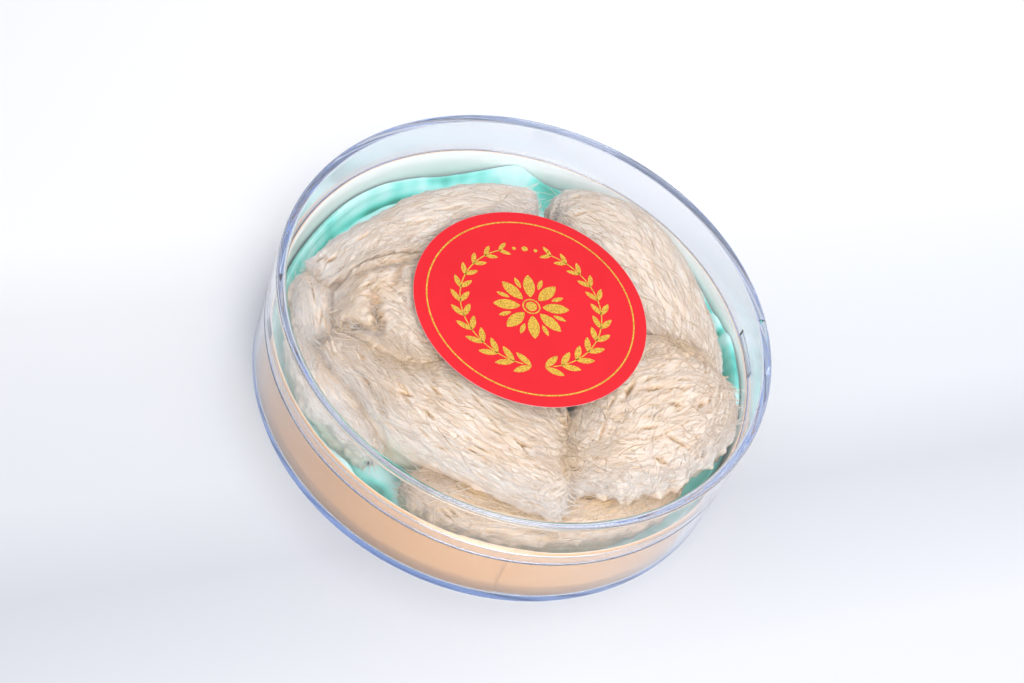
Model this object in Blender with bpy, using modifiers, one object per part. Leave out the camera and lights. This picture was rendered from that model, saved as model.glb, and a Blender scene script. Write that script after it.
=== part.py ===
"""Round clear box of edible bird's nests, packed on satin, with a lid and a round label.

The box lies on its base. Z is up along its axis, and the locating tabs are at +X and -X.
"""
import math

import bmesh
import bpy
from mathutils import Vector

MM = 0.001
GAP = 0.3 * MM                    # clearance between neighbouring pieces
ROUND_STEPS = 72                  # facets round every turned piece

# Box
BOX_RADIUS = 75.0 * MM
BOX_HEIGHT = 41.2 * MM
PLATE = 2.0 * MM                  # thickness of the lid's top and of the base's floor
LID_WALL = 2.1 * MM
BASE_WALL = 2.3 * MM
COLLAR_WALL = 1.3 * MM            # what is left of the base's wall above the shoulder
SKIRT_Z = 22.0 * MM               # lower edge of the lid
COLLAR_Z = 25.0 * MM              # top of the base's collar
EDGE_BREAK = 0.7 * MM             # small slopes on the moulded edges
CORNER_FILL = 0.3 * MM            # and in the base's inner corner

FLOOR_Z = PLATE
CEILING_Z = BOX_HEIGHT - PLATE
LID_INNER = BOX_RADIUS - LID_WALL
BASE_INNER = BOX_RADIUS - BASE_WALL
COLLAR_OUTER = BASE_INNER + COLLAR_WALL
LAP_INNER = COLLAR_OUTER + GAP    # the lid's wall is thinner where it goes over the collar
LAP_TOP_Z = COLLAR_Z + GAP
SHOULDER_Z = SKIRT_Z - GAP

# Tabs on the collar that keep the lid from turning
TAB_WIDTH = 15.0 * MM
TAB_TOP_Z = 28.0 * MM
TAB_OUTER = COLLAR_OUTER - 0.3 * MM
RECESS_WIDTH = 17.0 * MM
RECESS_DEPTH = 1.1 * MM
RECESS_TOP_Z = 36.2 * MM

# Card band inside the base's wall
CARD = 0.4 * MM
BAND_RADIUS = BASE_INNER - GAP
BAND_BOTTOM_Z = FLOOR_Z + GAP
BAND_TOP_Z = 25.7 * MM            # stands a little proud of the collar
BAND_JOINT_DEG = -96.0            # where the outer end stops
BAND_LAP_DEG = 12.0

# Label on the lid
LABEL_RADIUS = 35.4 * MM
LABEL_THICKNESS = 0.2 * MM
LABEL_GAP = 0.05 * MM

# Room left for the lining and the nests
PACK_RADIUS = BAND_RADIUS - 2 * CARD - 2 * GAP
PACK_TOP_Z = CEILING_Z - GAP

# Satin lining
SATIN_BOTTOM_Z = FLOOR_Z + GAP
SATIN_MIDDLE_Z = 8.0 * MM
SATIN_RIM_Z = 15.0 * MM
SATIN_RIM_SWING = 3.0 * MM        # the rim stands higher at the back left
SATIN_HIGH_DEG = 130.0
SATIN_SLOPE_FROM = 0.66           # share of the radius where the lining starts to climb

# Each nest lies between two edge rails, as (x, y, z) points in mm from its first end to its
# last. Crest is the height of its back along the middle, and floor the height of its underside.
NESTS = {
    "nest_left_wall": {
        "outer": [
            (-66, 17, 21.2), (-68, 3, 21.2), (-66, -13, 21.2),
            (-61, -29, 20.2), (-52, -43, 19.2), (-41, -53, 17.2),
        ],
        "inner": [
            (-57, 17, 25.2), (-54, 4, 27.2), (-50, -10, 27.2),
            (-43, -22, 26.2), (-36, -32, 25.2), (-30, -42, 22.2),
        ],
        "crest": [23.2, 27.2, 28.2, 28.2, 26.2, 21.2],
        "floor": 9,
    },
    "nest_front_low": {
        "outer": [
            (-34, -56, 19.2), (-21, -64, 20.2), (-4, -67, 21.2),
            (14, -66, 21.2), (31, -60, 20.2), (45, -50, 20.2),
        ],
        "inner": [
            (-27, -43, 22.2), (-13, -46, 24.2), (0, -47, 24.2),
            (14, -45, 24.2), (28, -41, 23.2), (41, -37, 21.2),
        ],
        "crest": [21.2, 25.2, 26.2, 26.2, 25.2, 21.2],
        "floor": 9,
    },
    "nest_back_right": {
        "outer": [
            (16, 56, 25.2), (30, 59, 25.2), (46, 51, 25.2),
            (55, 38, 25.2), (61, 21, 25.2), (63, -3, 27.2),
        ],
        "inner": [
            (14, 42, 31.2), (17, 32, 35.2), (24, 20, 36.2),
            (30, 9, 36.2), (36, 1, 36.2), (47, -6, 33.2),
        ],
        "crest": [29.2, 34.2, 37.2, 38, 37.2, 32.2],
        "floor": 10,
    },
    "nest_front_right": {
        "outer": [
            (8, -55, 26.2), (21, -57, 26.2), (35, -54, 26.2),
            (48, -47, 26.2), (59, -36, 26.2), (66, -21, 27.2),
        ],
        "inner": [
            (8, -37, 31.2), (15, -28, 35.2), (25, -17, 36.2),
            (38, -10, 36.2), (52, -9, 35.2), (64, -11, 30.2),
        ],
        "crest": [30.2, 35.2, 37.2, 38, 36.7, 31.2],
        "floor": 10,
    },
    "nest_front_left": {
        "outer": [
            (-62, -13, 30.2), (-55, -25, 28.2), (-42, -38, 27.2),
            (-26, -48, 26.2), (-8, -58, 25.2), (6, -64, 24.2),
        ],
        "inner": [
            (-57, -8, 32.2), (-43, -14, 34.2), (-28, -17, 35.2),
            (-14, -21, 36.2), (-3, -27, 35.2), (6, -38, 32.2),
        ],
        "crest": [32.2, 35.2, 37.2, 38, 35.7, 30.2],
        "floor": 11,
    },
    "nest_left_folded": {
        "outer": [
            (-56, 7, 26.2), (-48, 12, 29.2), (-38, 15, 32.2),
            (-26, 16, 34.2), (-14, 11, 34.2),
        ],
        "inner": [
            (-57, -6, 28.2), (-48, -11, 32.2), (-39, -16, 35.2),
            (-27, -15, 36.2), (-15, -11, 36.2),
        ],
        "crest": [28.2, 33.2, 36.7, 37.8, 36.2],
        "floor": 13,
    },
    "nest_back_left": {
        "outer": [
            (-65, 18, 25.2), (-54, 31, 24.2), (-41, 42, 24.2),
            (-25, 51, 23.2), (-6, 57, 23.2), (13, 58, 24.2),
        ],
        "inner": [
            (-57, 10, 29.2), (-47, 15, 33.2), (-35, 20, 36.2),
            (-19, 20, 36.7), (-4, 26, 36.2), (10, 40, 32.2),
        ],
        "crest": [29.2, 34.2, 37.2, 38, 36.2, 29.2],
        "floor": 10,
    },
}
NEST_AROUND = 22                  # facets round a nest
NEST_RINGS = 10                   # rings from its underside to its back
NEST_FULLNESS = 0.75              # under 1 gives a fuller edge than a ball's


def clear_scene():
    for item in list(bpy.data.objects):
        bpy.data.objects.remove(item)


def new_collection(name):
    made = bpy.data.collections.new(name)
    bpy.context.scene.collection.children.link(made)
    return made


def new_material(name, colour, roughness, metallic=0.0, transmission=0.0):
    made = bpy.data.materials.new(name)
    made.use_nodes = True
    shader = made.node_tree.nodes["Principled BSDF"]
    shader.inputs["Base Color"].default_value = (*colour, 1.0)
    shader.inputs["Roughness"].default_value = roughness
    shader.inputs["Metallic"].default_value = metallic
    shader.inputs["Transmission Weight"].default_value = transmission
    return made


def new_object(name, mesh, collection, material=None):
    made = bpy.data.objects.new(name, mesh)
    collection.objects.link(made)
    if material:
        mesh.materials.append(material)
    return made


def shade_round(mesh):
    mesh.shade_smooth()
    mesh.set_sharp_from_angle(angle=math.radians(35))


def hide_cutter(cutter):
    cutter.hide_render = True
    cutter.display_type = "WIRE"


def add_boolean(target, cutter, operation):
    step = target.modifiers.new(f"{operation.lower()}_{cutter.name}", "BOOLEAN")
    step.operation = operation
    step.object = cutter
    step.solver = "EXACT"


def turned_piece(name, profile, collection, material):
    """Turns a profile of (radius, height) points, from the axis and back to it, about Z."""
    mesh = bpy.data.meshes.new(name)
    points = [(radius, 0.0, height) for radius, height in profile]
    mesh.from_pydata(points, [(i, i + 1) for i in range(len(points) - 1)], [])
    made = new_object(name, mesh, collection, material)
    turn = made.modifiers.new("turn", "SCREW")
    turn.axis = "Z"
    turn.steps = ROUND_STEPS
    turn.render_steps = ROUND_STEPS
    turn.use_merge_vertices = True
    turn.merge_threshold = 0.0001
    turn.use_smooth_shade = True
    return made


def block(name, low, high, collection):
    """A box between two corners, used to cut another piece."""
    mesh = bpy.data.meshes.new(name)
    shape = bmesh.new()
    bmesh.ops.create_cube(shape, size=1.0)
    size = Vector(high) - Vector(low)
    middle = (Vector(high) + Vector(low)) / 2
    bmesh.ops.scale(shape, vec=size, verts=shape.verts)
    bmesh.ops.translate(shape, vec=middle, verts=shape.verts)
    shape.to_mesh(mesh)
    shape.free()
    made = new_object(name, mesh, collection)
    hide_cutter(made)
    return made


def make_base(parts, helpers, material):
    """Flat floor and a straight wall, thinned outside above the shoulder to a collar."""
    slope = 0.5 * MM
    profile = [
        (0.0, COLLAR_Z),
        (COLLAR_OUTER - slope, COLLAR_Z),
        (COLLAR_OUTER, COLLAR_Z - slope),
        (COLLAR_OUTER, SHOULDER_Z),
        (BOX_RADIUS, SHOULDER_Z),
        (BOX_RADIUS, EDGE_BREAK),
        (BOX_RADIUS - EDGE_BREAK, 0.0),
        (0.0, 0.0),
    ]
    base = turned_piece("box_base", profile, parts, material)
    hollow = turned_piece(
        "base_hollow",
        [
            (0.0, TAB_TOP_Z + 5 * MM),
            (BASE_INNER, TAB_TOP_Z + 5 * MM),
            (BASE_INNER, FLOOR_Z + CORNER_FILL),
            (BASE_INNER - CORNER_FILL, FLOOR_Z),
            (0.0, FLOOR_Z),
        ],
        helpers,
        None,
    )
    hide_cutter(hollow)
    tab_ring = turned_piece(
        "tab_ring",
        [(0.0, TAB_TOP_Z), (TAB_OUTER, TAB_TOP_Z), (TAB_OUTER, COLLAR_Z - MM), (0.0, COLLAR_Z - MM)],
        helpers,
        None,
    )
    hide_cutter(tab_ring)
    tab_width = block(
        "tab_width",
        (-BOX_RADIUS, -TAB_WIDTH / 2, COLLAR_Z - 2 * MM),
        (BOX_RADIUS, TAB_WIDTH / 2, TAB_TOP_Z + MM),
        helpers,
    )
    add_boolean(tab_ring, tab_width, "INTERSECT")
    add_boolean(base, tab_ring, "UNION")
    add_boolean(base, hollow, "DIFFERENCE")
    return base


def make_lid(parts, helpers, material):
    """Flat top, and a straight wall whose thinner lower edge goes down over the collar."""
    slope = 0.5 * MM
    profile = [
        (0.0, BOX_HEIGHT),
        (BOX_RADIUS - slope, BOX_HEIGHT),
        (BOX_RADIUS, BOX_HEIGHT - slope),
        (BOX_RADIUS, SKIRT_Z),
        (LAP_INNER, SKIRT_Z),
        (LAP_INNER, LAP_TOP_Z),
        (LID_INNER, LAP_TOP_Z),
        (LID_INNER, CEILING_Z - EDGE_BREAK),
        (LID_INNER - EDGE_BREAK, CEILING_Z),
        (0.0, CEILING_Z),
    ]
    lid = turned_piece("box_lid", profile, parts, material)
    for side, sign in (("right", 1), ("left", -1)):
        near = sign * (LID_INNER - 4 * MM)
        far = sign * (LID_INNER + RECESS_DEPTH)
        recess = block(
            f"lid_recess_{side}",
            (min(near, far), -RECESS_WIDTH / 2, SKIRT_Z + MM),
            (max(near, far), RECESS_WIDTH / 2, RECESS_TOP_Z),
            helpers,
        )
        add_boolean(lid, recess, "DIFFERENCE")
    return lid


def make_band(parts, material):
    """A strip of card wound once inside the collar, its inner end lapping behind its outer end."""
    steps = ROUND_STEPS
    height = BAND_TOP_Z - BAND_BOTTOM_Z
    total = 360.0 + BAND_LAP_DEG
    settle = 20.0                 # degrees over which the inner end steps inwards
    drop = CARD + GAP
    curve = bpy.data.curves.new("band_line", "CURVE")
    curve.dimensions = "2D"
    curve.fill_mode = "NONE"
    curve.extrude = height / 2
    line = curve.splines.new("POLY")
    line.points.add(steps)
    for i, point in enumerate(line.points):
        turned = total * i / steps
        share = min(1.0, max(0.0, (turned - (360.0 - settle)) / settle))
        radius = BAND_RADIUS - CARD / 2 - drop * share
        angle = math.radians(BAND_JOINT_DEG - turned)
        point.co = (radius * math.cos(angle), radius * math.sin(angle), 0.0, 1.0)
    guide = bpy.data.objects.new("band_line", curve)
    parts.objects.link(guide)
    guide.location.z = (BAND_TOP_Z + BAND_BOTTOM_Z) / 2
    bpy.context.view_layer.update()
    graph = bpy.context.evaluated_depsgraph_get()
    mesh = bpy.data.meshes.new_from_object(guide.evaluated_get(graph))
    band = new_object("paper_band", mesh, parts, material)
    band.matrix_world = guide.matrix_world.copy()
    bpy.data.objects.remove(guide)
    card = band.modifiers.new("card", "SOLIDIFY")
    card.thickness = CARD
    card.offset = 0.0
    return band


def make_label(parts, material):
    """A thin printed disc on the lid's flat top."""
    mesh = bpy.data.meshes.new("lid_label")
    shape = bmesh.new()
    bmesh.ops.create_cone(
        shape,
        cap_ends=True,
        segments=ROUND_STEPS,
        radius1=LABEL_RADIUS,
        radius2=LABEL_RADIUS,
        depth=LABEL_THICKNESS,
    )
    shape.to_mesh(mesh)
    shape.free()
    label = new_object("lid_label", mesh, parts, material)
    label.location.z = BOX_HEIGHT + LABEL_GAP + LABEL_THICKNESS / 2
    return label


def satin_height(x, y):
    """Top of the lining: flat under the nests, climbing towards the wall."""
    share = math.hypot(x, y) / PACK_RADIUS
    climb = min(1.0, max(0.0, (share - SATIN_SLOPE_FROM) / (1.0 - SATIN_SLOPE_FROM)))
    climb = climb * climb * (3.0 - 2.0 * climb)
    turn = math.atan2(y, x) - math.radians(SATIN_HIGH_DEG)
    rim = SATIN_RIM_Z + SATIN_RIM_SWING * math.cos(turn)
    return SATIN_MIDDLE_Z + (rim - SATIN_MIDDLE_Z) * climb


def make_satin(parts, material):
    """The bunched cloth as one closed shape, from a ball pressed flat underneath."""
    mesh = bpy.data.meshes.new("satin_lining")
    shape = bmesh.new()
    bmesh.ops.create_uvsphere(shape, u_segments=36, v_segments=14, radius=1.0)
    rim_drop = 1.5 * MM
    for vertex in shape.verts:
        x, y, z = vertex.co
        across = min(1.0, math.hypot(x, y))
        share = math.asin(across) / (math.pi / 2)
        reach = PACK_RADIUS * share / max(across, 1e-9)
        x, y = x * reach, y * reach
        top = satin_height(x, y)
        if abs(z) < 1e-4:
            height = top - rim_drop
        else:
            height = top if z > 0 else SATIN_BOTTOM_Z
        vertex.co = (x, y, height)
    bmesh.ops.triangulate(shape, faces=shape.faces)
    shape.to_mesh(mesh)
    shape.free()
    shade_round(mesh)
    return new_object("satin_lining", mesh, parts, material)


def smooth_along(points, share):
    """A point at share (0 to 1) of a Catmull-Rom curve through points of any size."""
    last = len(points) - 1
    place = min(max(share, 0.0), 1.0) * last
    i = min(int(place), last - 1)
    t = place - i
    before, here, there, after = (Vector(points[min(max(k, 0), last)]) for k in range(i - 1, i + 3))
    return 0.5 * (
        2 * here
        + (there - before) * t
        + (2 * before - 5 * here + 4 * there - after) * t * t
        + (3 * here - before - 3 * there + after) * t ** 3
    )


def make_nest(name, form, parts, material):
    """A cushion-like nest: a ball whose girdle is drawn out to the two rails."""
    mesh = bpy.data.meshes.new(name)
    shape = bmesh.new()
    bmesh.ops.create_uvsphere(shape, u_segments=NEST_AROUND, v_segments=NEST_RINGS, radius=1.0)
    crest = [(height, 0.0) for height in form["crest"]]
    for vertex in shape.verts:
        x, y, z = vertex.co
        along = (x + 1.0) / 2.0
        half = math.sqrt(max(1e-9, 1.0 - x * x))
        across = max(-1.0, min(1.0, y / half))
        outer = smooth_along(form["outer"], along)
        inner = smooth_along(form["inner"], along)
        edge = outer.lerp(inner, (across + 1.0) / 2.0)
        top = smooth_along(crest, along)[0]
        swell = abs(z) ** NEST_FULLNESS
        target = top if z > 0 else form["floor"]
        height = edge.z + (target - edge.z) * swell
        vertex.co = Vector((edge.x, edge.y, height)) * MM
    if shape.calc_volume(signed=True) < 0:
        bmesh.ops.reverse_faces(shape, faces=shape.faces)
    bmesh.ops.triangulate(shape, faces=shape.faces)
    shape.to_mesh(mesh)
    shape.free()
    shade_round(mesh)
    return new_object(name, mesh, parts, material)


def swollen_copy(source, helpers):
    """A cutter larger than a piece by the gap, so that its neighbour lies over it and stays clear."""
    cutter = new_object(f"around_{source.name}", source.data.copy(), helpers)
    swell = cutter.modifiers.new("swell", "DISPLACE")
    swell.strength = GAP + 0.2 * MM
    swell.mid_level = 0.0
    swell.direction = "NORMAL"
    hide_cutter(cutter)
    return cutter


def main():
    clear_scene()
    parts = new_collection("edible_birds_nest_box")
    helpers = new_collection("helpers")

    clear = new_material("clear_polystyrene", (0.86, 0.9, 1.0), 0.05, transmission=1.0)
    card = new_material("champagne_card", (0.8, 0.52, 0.33), 0.35, metallic=0.3)
    satin = new_material("mint_satin", (0.13, 0.66, 0.55), 0.35)
    nest = new_material("dried_nest", (0.79, 0.7, 0.56), 0.55)
    paper = new_material("red_label_paper", (0.9, 0.03, 0.05), 0.4)

    make_base(parts, helpers, clear)
    make_lid(parts, helpers, clear)
    make_band(parts, card)
    make_label(parts, paper)
    lining = make_satin(parts, satin)

    room = turned_piece(
        "packing_room",
        [(0.0, PACK_TOP_Z), (PACK_RADIUS, PACK_TOP_Z), (PACK_RADIUS, FLOOR_Z), (0.0, FLOOR_Z)],
        helpers,
        None,
    )
    hide_cutter(room)
    below = [swollen_copy(lining, helpers)]
    for name, form in NESTS.items():
        piece = make_nest(name, form, parts, nest)
        add_boolean(piece, room, "INTERSECT")
        for neighbour in below:
            add_boolean(piece, neighbour, "DIFFERENCE")
        below.append(swollen_copy(piece, helpers))


main()
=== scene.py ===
import math

import bmesh
import bpy
import numpy as np
from mathutils import Matrix, Vector
from mathutils.kdtree import KDTree


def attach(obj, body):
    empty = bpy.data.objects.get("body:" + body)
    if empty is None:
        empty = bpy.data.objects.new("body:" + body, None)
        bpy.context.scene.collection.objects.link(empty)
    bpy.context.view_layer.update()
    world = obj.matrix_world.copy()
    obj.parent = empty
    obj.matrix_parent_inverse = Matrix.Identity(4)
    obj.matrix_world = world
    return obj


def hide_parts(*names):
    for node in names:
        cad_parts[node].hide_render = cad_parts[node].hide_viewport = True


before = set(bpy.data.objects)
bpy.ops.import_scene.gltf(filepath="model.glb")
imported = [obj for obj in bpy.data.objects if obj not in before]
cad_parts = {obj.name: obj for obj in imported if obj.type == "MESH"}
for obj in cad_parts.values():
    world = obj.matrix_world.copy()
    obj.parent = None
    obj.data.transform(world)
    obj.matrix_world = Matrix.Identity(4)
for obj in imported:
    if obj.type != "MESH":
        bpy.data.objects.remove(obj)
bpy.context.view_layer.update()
print("frame loaded:", ", ".join(sorted(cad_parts)))

mm = 0.001


# Shared helpers

def hexToLinear(text):
    # "#RRGGBB" in sRGB to a linear colour with alpha
    parts = [int(text[i:i + 2], 16) / 255 for i in (1, 3, 5)]
    return tuple(c / 12.92 if c <= 0.04045 else ((c + 0.055) / 1.055) ** 2.4 for c in parts) + (1.0,)


def addNode(tree, kind, settings=None, inputs=None):
    # settings are the node's own properties; an input is a value or another node's output
    made = tree.nodes.new(kind)
    for name, value in (settings or {}).items():
        setattr(made, name, value)
    for name, value in (inputs or {}).items():
        if isinstance(value, bpy.types.NodeSocket):
            tree.links.new(value, made.inputs[name])
        else:
            made.inputs[name].default_value = value
    return made


def newMaterial(name, **values):
    # an empty Principled material; values are socket names with _ for a space
    made = bpy.data.materials.new(name)
    made.use_nodes = True
    shader = made.node_tree.nodes["Principled BSDF"]
    for key, value in values.items():
        shader.inputs[key.replace("_", " ")].default_value = value
    return made, made.node_tree, shader


def setRamp(rampNode, stops):
    # stops are (place from 0 to 1, hex colour)
    ramp = rampNode.color_ramp
    while len(ramp.elements) > 1:
        ramp.elements.remove(ramp.elements[-1])
    ramp.elements[0].position = stops[0][0]
    ramp.elements[0].color = hexToLinear(stops[0][1])
    for place, colour in stops[1:]:
        ramp.elements.new(place).color = hexToLinear(colour)


def finishPiece(name, shape, materials, sharp, replaces=()):
    # writes a bmesh as a piece of the object, smooth but for edges over the sharp angle in degrees
    mesh = bpy.data.meshes.new(name)
    shape.to_mesh(mesh)
    shape.free()
    for material in materials:
        mesh.materials.append(material)
    mesh.shade_smooth()
    if sharp is not None:
        mesh.set_sharp_from_angle(angle=math.radians(sharp))
    piece = bpy.data.objects.new(name, mesh)
    bpy.context.scene.collection.objects.link(piece)
    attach(piece, "root")
    if replaces:
        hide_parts(*replaces)
    return piece


def arc(centreR, centreZ, radius, start, end, steps):
    # points of (radius, height) along an arc, angles in degrees from +R towards +Z
    found = []
    for i in range(steps + 1):
        angle = math.radians(start + (end - start) * i / steps)
        found.append((centreR + radius * math.cos(angle), centreZ + radius * math.sin(angle)))
    return found


def withSupports(profile, near=0.2):
    # two more points close to the ends of each long straight run, so that its shading stays flat
    found = [profile[0]]
    for here, there in zip(profile, profile[1:]):
        length = math.dist(here, there)
        if length > 5 * near:
            for share in (near / length, 1 - near / length):
                found.append(tuple(a + (b - a) * share for a, b in zip(here, there)))
        found.append(there)
    return found


def spunShape(profile, steps):
    # turns (radius, height) points in mm about Z; the profile starts and ends on the axis
    shape = bmesh.new()
    verts = [shape.verts.new((r * mm, 0.0, z * mm)) for r, z in withSupports(profile)]
    edges = [shape.edges.new(pair) for pair in zip(verts, verts[1:])]
    bmesh.ops.spin(shape, geom=verts + edges, axis=(0, 0, 1), cent=(0, 0, 0),
                   angle=math.tau, steps=steps, use_merge=True)
    bmesh.ops.remove_doubles(shape, verts=shape.verts, dist=1e-6)
    bmesh.ops.recalc_face_normals(shape, faces=shape.faces)
    return shape


def through(points, at, closed=False):
    # a smooth curve through the points, read at places from 0 to 1
    points = np.asarray(points, float)
    if points.ndim == 1:
        points = points[:, None]
    count = len(points)
    last = count if closed else count - 1
    place = np.clip(np.asarray(at, float) * last, 0, last)
    first = np.minimum(place.astype(int), last - 1)
    part = (place - first)[:, None]
    index = [first + step for step in (-1, 0, 1, 2)]
    index = [i % count if closed else np.clip(i, 0, count - 1) for i in index]
    a, b, c, d = (points[i] for i in index)
    return 0.5 * (2 * b + (c - a) * part + (2 * a - 5 * b + 4 * c - d) * part ** 2
                  + (3 * b - a - 3 * c + d) * part ** 3)


def patches(x, y, seed):
    # smooth random heights from -1 to 1, about one bump for each unit of x and y; so where a place in mm
    # is divided by a number first, that number is the size of a bump in mm
    column, row = np.floor(x), np.floor(y)
    partX, partY = x - column, y - row
    partX, partY = partX ** 2 * (3 - 2 * partX), partY ** 2 * (3 - 2 * partY)

    def height(i, j):
        value = np.sin(i * 127.1 + j * 311.7 + seed * 74.7) * 43758.5453
        return 2 * (value - np.floor(value)) - 1
    near = height(column, row) * (1 - partX) + height(column + 1, row) * partX
    far = height(column, row + 1) * (1 - partX) + height(column + 1, row + 1) * partX
    return near * (1 - partY) + far * partY


def readGrid(grid, u, t):
    # bilinear reading of a grid at places counted in its rows and columns
    row = np.clip(np.floor(u).astype(int), 0, grid.shape[0] - 2)
    column = np.clip(np.floor(t).astype(int), 0, grid.shape[1] - 2)
    partU, partT = np.clip(u - row, 0, 1), np.clip(t - column, 0, 1)
    if grid.ndim == 3:
        partU, partT = partU[:, None], partT[:, None]
    return (grid[row, column] * (1 - partU) * (1 - partT) + grid[row + 1, column] * partU * (1 - partT)
            + grid[row, column + 1] * (1 - partU) * partT + grid[row + 1, column + 1] * partU * partT)


def gridBody(grid):
    # a bmesh grid bent onto the points in mm, and the row and column of each of its vertices
    rows, columns = grid.shape[:2]
    shape = bmesh.new()
    bmesh.ops.create_grid(shape, x_segments=rows - 1, y_segments=columns - 1, size=1.0)
    places = np.array([(vert.co.x, vert.co.y) for vert in shape.verts])
    order = np.rint((places + 1) / 2 * (rows - 1, columns - 1)).astype(int)
    for vert, spot in zip(shape.verts, grid[order[:, 0], order[:, 1]] * mm):
        vert.co = spot
    return shape, order


# Camera

cameraSettings = {
    "place": (-161.461, -346.903, 481.858),   # mm
    "right": (0.959058, -0.088474, 0.269035),
    "up": (-0.088474, 0.808811, 0.581375),
    "lens": 70.31,                            # mm on a 36 mm wide sensor
}


def makeCamera(values):
    # the photo's view: a long lens that looks down on the closed box
    data = bpy.data.cameras.new("camera")
    data.lens = values["lens"]
    data.sensor_width = 36.0
    data.clip_start = 0.01
    camera = bpy.data.objects.new("camera", data)
    bpy.context.scene.collection.objects.link(camera)
    right, up = Vector(values["right"]).normalized(), Vector(values["up"])
    back = right.cross(up).normalized()
    turn = Matrix((right, back.cross(right), back)).transposed().to_4x4()
    camera.matrix_world = Matrix.Translation(Vector(values["place"]) * mm) @ turn
    bpy.context.scene.camera = camera


# Floor and lights

stageSettings = {
    "floorSize": 6.0,           # m
    "floorDrop": 0.05,          # mm below the box, so that no two faces lie in one plane
    "floorNear": -0.11, "floorFar": 0.13,     # m towards the back, where its painted shade starts and ends
    "floorShadeTurn": -14.0,         # degrees that the painted shade is turned, so that the front left is darkest
    # painted shade: the paper's tones from the front to the back
    "floorShadeTones": [(0.04, "#E8E9EC"), (0.15, "#DEE0E4"), (0.26, "#D6D8DD"), (0.38, "#E6E8EB"),
                   (0.52, "#EBEDEF"), (0.64, "#F2F3F5"), (0.75, "#FFFFFF")],
    "floorLeftShade": 0.89,          # how much of the paper's tone is left at the far left, a painted shade
    "leftFrom": -0.16, "leftTo": 0.02,        # m across, where that painted darkening is full and where it starts
    "skyColours": ("#C0D6FF", "#BDBFC6", "#BABABC"),      # the lowest, blue, draws the clear edges
    "skyHeights": (0.08, 0.30, 0.8),          # sines of the heights where the three colours lie
    "skyStrength": 1.4,
    # softboxes: place and width in m, power in W
    "lamps": {
        "key": ((0.35, 0.25, 1.15), 0.5, 1.9),
        "fill": ((-0.05, -0.90, 0.90), 0.9, 8.6),
    },
    "bounces": 48,
}


def makeFloor(values):
    # a sheet of white paper, matt, with painted shade that darkens it towards the front left
    shape = bmesh.new()
    bmesh.ops.create_grid(shape, x_segments=2, y_segments=2, size=values["floorSize"] / 2)
    bmesh.ops.translate(shape, vec=(0, 0, -values["floorDrop"] * mm), verts=shape.verts)
    mesh = bpy.data.meshes.new("floor")
    shape.to_mesh(mesh)
    shape.free()
    floor = bpy.data.objects.new("floor", mesh)
    bpy.context.scene.collection.objects.link(floor)
    material, tree, shader = newMaterial("studio_paper_painted_shade", Roughness=0.6)
    coords = addNode(tree, "ShaderNodeTexCoord")
    place = addNode(tree, "ShaderNodeMapping", inputs={
        "Vector": coords.outputs["Object"], "Rotation": (0, 0, math.radians(values["floorShadeTurn"]))})
    split = addNode(tree, "ShaderNodeSeparateXYZ", inputs={"Vector": place.outputs["Vector"]})
    fade = addNode(tree, "ShaderNodeMapRange", inputs={
        "Value": split.outputs["Y"], "From Min": values["floorNear"], "From Max": values["floorFar"]})
    ramp = addNode(tree, "ShaderNodeValToRGB", inputs={"Fac": fade.outputs["Result"]})
    setRamp(ramp, values["floorShadeTones"])
    # more painted shade towards the far left
    straight = addNode(tree, "ShaderNodeSeparateXYZ", inputs={"Vector": coords.outputs["Object"]})
    left = addNode(tree, "ShaderNodeMapRange", inputs={
        "Value": straight.outputs["X"], "From Min": values["leftFrom"], "From Max": values["leftTo"],
        "To Min": values["floorLeftShade"]})
    tone = addNode(tree, "ShaderNodeVectorMath", {"operation": "SCALE"}, {
        0: ramp.outputs["Color"], "Scale": left.outputs["Result"]})
    tree.links.new(tone.outputs["Vector"], shader.inputs["Base Color"])
    mesh.materials.append(material)


def makeSky(values):
    # a pale sky with a low blue band round the set
    world = bpy.data.worlds.new("studio")
    bpy.context.scene.world = world
    world.use_nodes = True
    tree = world.node_tree
    background = tree.nodes["Background"]
    coords = addNode(tree, "ShaderNodeTexCoord")
    split = addNode(tree, "ShaderNodeSeparateXYZ", inputs={"Vector": coords.outputs["Generated"]})
    ramp = addNode(tree, "ShaderNodeValToRGB", inputs={"Fac": split.outputs["Z"]})
    setRamp(ramp, list(zip(values["skyHeights"], values["skyColours"])))
    tree.links.new(ramp.outputs["Color"], background.inputs["Color"])
    background.inputs["Strength"].default_value = values["skyStrength"]


def makeLamps(values):
    # round softboxes that face the box, and how far the light is followed
    for name, (spot, size, power) in values["lamps"].items():
        data = bpy.data.lights.new(name, "AREA")
        data.shape = "DISK"
        data.size = size
        data.energy = power
        lamp = bpy.data.objects.new(name, data)
        bpy.context.scene.collection.objects.link(lamp)
        lamp.location = spot
        lamp.rotation_euler = (-Vector(spot)).to_track_quat("-Z", "Y").to_euler()
    scene = bpy.context.scene
    scene.view_settings.view_transform = "Standard"
    scene.cycles.max_bounces = values["bounces"]     # light runs round inside the clear rims many times
    scene.cycles.glossy_bounces = values["bounces"]
    scene.cycles.transmission_bounces = values["bounces"]


# Clear box: injection-moulded crystal polystyrene, glossy and nearly colourless, bluish where light runs
# along the plastic

plasticSettings = {
    "tint": "#FCFDFF",
    "ior": 1.59,
    "roughness": 0.012,
    "depthColour": "#BCD9FF",    # what is left of white light after a long way through it
    "density": 12.0,
    "shadow": "#FBFCFF",
    "ripple": 26.0,              # mm between the slight waves of the mould's flow
}

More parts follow.
